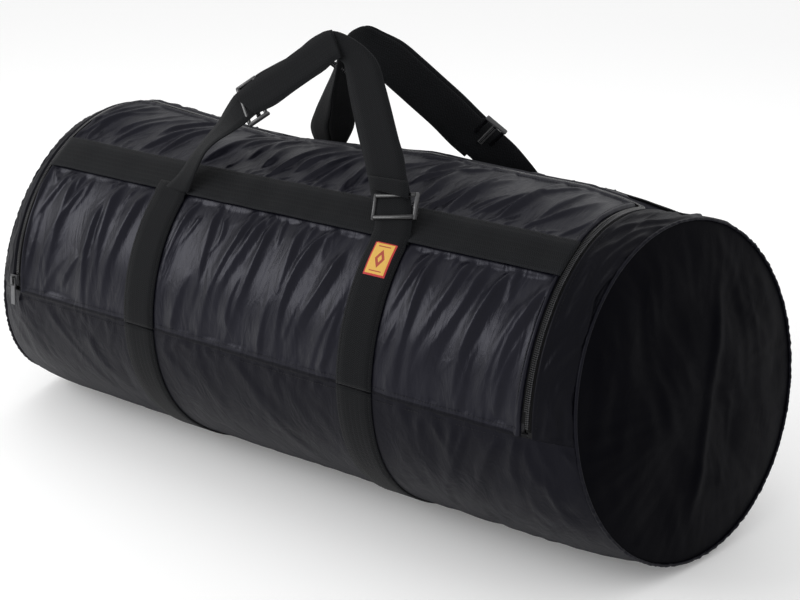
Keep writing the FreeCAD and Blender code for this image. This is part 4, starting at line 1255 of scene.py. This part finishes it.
# Padding and lining.
def slab(name, x_low, x_high, low, high, outer, inner, step, material, body, slot, node_name, quilt=0.0):
    """Closed curved pad between two depths under the nylon."""
    xs = spread(x_low, x_high, step)
    thetas = spread(low, high, step * PER_METRE)
    x, theta = np.meshgrid(xs, thetas, indexing="ij")
    channel = np.minimum(np.abs((x + 10.0) % 0.12 - 0.06), 0.03) / 0.03
    swell = quilt * (1.0 - ease(channel, 0.0, 0.35))
    rows, columns = x.shape
    top = barrel(x, theta, np.full(x.shape, outer))
    under = barrel(x, theta, inner - swell)
    points = np.concatenate([top.reshape(-1, 3), under.reshape(-1, 3)])
    faces = grid_faces(rows, columns)
    count = rows * columns
    faces = faces + [tuple(index + count for index in face[::-1]) for face in grid_faces(rows, columns)]
    loops = [list(range(columns)), [(rows - 1) * columns + j for j in range(columns)],
             [i * columns for i in range(rows)], [i * columns + columns - 1 for i in range(rows)]]
    for number, loop in enumerate(loops):
        for a, b in zip(loop[:-1], loop[1:]):
            quad = (a, b, b + count, a + count)
            faces.append(quad if number in (0, 3) else quad[::-1])
    flat = np.stack([x, arc(theta)], axis=-1).reshape(-1, 2)
    piece = make_object(name, points, faces, np.concatenate([flat, flat]), material, body, slot)
    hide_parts(node_name)
    return piece


PAD_OUTER, PAD_INNER = -0.0068, -0.0110
LINING_OUTER, LINING_INNER = -0.0113, -0.0121
FOAM_END = 0.474
END_PAD_SHARE = 0.97
foam_edge = 0.007 * PER_METRE
PADS = [
    ("bottom", -FOAM_END, FOAM_END, -179.9, -0.1, "bag_body"),
    ("rear", -FOAM_END, FOAM_END, ZIP_TOP + foam_edge, 179.9, "bag_body"),
    ("lid", -ZIP_LEG_X + 0.007, ZIP_LEG_X - 0.007, 0.3, ZIP_TOP - foam_edge, "lid_flap"),
]
for label, x_low, x_high, low, high, body in PADS:
    pad = slab(label + "_padding", x_low, x_high, low, high, PAD_OUTER, PAD_INNER, 0.012, FOAM, body, "foam",
               label + "_foam")
    slab(label + "_lining_cloth", x_low, x_high, low, high, LINING_OUTER, LINING_INNER, 0.006, LINING, body,
         "lining", label + "_lining", 0.0015)
for side, sign in SIDES:
    low, high = sorted((sign * (ZIP_LEG_X + 0.007), sign * FOAM_END))
    pad = slab("gusset_padding_" + side, low, high, 0.1, ZIP_TOP + foam_edge - 0.1, PAD_OUTER, PAD_INNER, 0.012, FOAM,
               "bag_body", "foam", "gusset_foam_" + side)


def end_pad(side, sign):
    """Round pad inside an end, rounded at its rim."""
    spokes = 90
    theta = np.linspace(-180.0, 180.0, spokes, endpoint=False)
    origin, out, _, _ = rim_frame(sign)
    rim = origin + (rim_point(sign, theta) - origin) * END_PAD_SHARE
    shares = (0.02, 0.3, 0.6, 0.8, 0.97)
    profile = [(share, 0.0) for share in shares] + [(1.0, 0.002), (1.0, 0.0055)]
    profile = profile + [(share, 0.0074) for share in reversed(shares)]
    rows = []
    for share, depth in profile:
        rows.append(origin + (rim - origin) * share + out * (depth - 0.0078 + 0.012 * (1 - share ** 2)))
    points = np.stack(rows).reshape(-1, 3)
    faces = grid_faces(len(rows), spokes, wrap=True)
    faces.append(tuple(range(spokes)))
    faces.append(tuple((len(rows) - 1) * spokes + j for j in reversed(range(spokes))))
    piece = make_object("end_padding_" + side, points, faces, points[:, 1:], LINING, "bag_body", "foam")
    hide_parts("end_foam_" + side)


for side, sign in SIDES:
    end_pad(side, sign)

# Nodes of the frame that keep their own shape.
for name, material in (("zip_slider", ZIP_METAL), ("zip_pull", ZIP_METAL), ("zip_stop_left", ZIP_TAPE),
                       ("zip_stop_right", ZIP_TAPE)):
    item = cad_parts[name]
    item.data.materials.clear()
    item.data.materials.append(material)


# Floor, light and camera.
def studio():
    floor_mesh = bpy.data.meshes.new("studio_floor")
    reach = 14.0
    floor_mesh.from_pydata([(-reach, -reach, 0), (reach, -reach, 0), (reach, reach, 0), (-reach, reach, 0)], [],
                           [(0, 1, 2, 3)])
    floor = bpy.data.objects.new("studio_floor", floor_mesh)
    bpy.context.scene.collection.objects.link(floor)
    material, _, shader = new_material("studio_paper", (0.93, 0.93, 0.93), 0.9)
    shader.inputs["Emission Color"].default_value = (1.0, 1.0, 1.0, 1.0)
    shader.inputs["Emission Strength"].default_value = 0.12
    floor_mesh.materials.append(material)
    world = bpy.data.worlds.new("studio_air")
    world.use_nodes = True
    world.node_tree.nodes["Background"].inputs["Color"].default_value = (1, 1, 1, 1)
    world.node_tree.nodes["Background"].inputs["Strength"].default_value = 0.85
    bpy.context.scene.world = world
    bpy.context.scene.view_settings.view_transform = "Standard"
    lights = [
        ("overhead_box", (-0.9, 0.1, 2.4), (0.0, 0.0, 0.2), 1.5, 0.8, 3.5),
        ("front_left_box", (-1.75, -1.65, 1.35), (0.0, 0.0, 0.25), 1.9, 1.2, 32.0),
        ("back_strip", (0.2, 2.2, 1.7), (0.0, 0.0, 0.3), 2.6, 0.6, 3.0),
    ]
    for name, place, target, width, height, power in lights:
        data = bpy.data.lights.new(name, "AREA")
        data.shape = "RECTANGLE"
        data.size, data.size_y = width, height
        data.energy = power
        lamp = bpy.data.objects.new(name, data)
        lamp.location = place
        lamp.rotation_euler = (Vector(target) - Vector(place)).to_track_quat("-Z", "Y").to_euler()
        bpy.context.scene.collection.objects.link(lamp)


CAMERA_PLACE = (1.1423, -1.5005, 0.8846)
CAMERA_AIM = (0.029, 0.0, 0.204)
LENS_MM = 69.0
IMAGE_W, IMAGE_H = 800, 600
AIM_PIXEL = (366.9, 310.9)


def camera():
    data = bpy.data.cameras.new("photo_camera")
    data.sensor_width = 36.0
    data.lens = LENS_MM
    data.shift_x = (IMAGE_W / 2 - AIM_PIXEL[0]) / IMAGE_W
    data.shift_y = (AIM_PIXEL[1] - IMAGE_H / 2) / IMAGE_W
    eye = bpy.data.objects.new("photo_camera", data)
    eye.location = CAMERA_PLACE
    eye.rotation_euler = (Vector(CAMERA_AIM) - Vector(CAMERA_PLACE)).to_track_quat("-Z", "Y").to_euler()
    bpy.context.scene.collection.objects.link(eye)
    bpy.context.scene.camera = eye


studio()
camera()
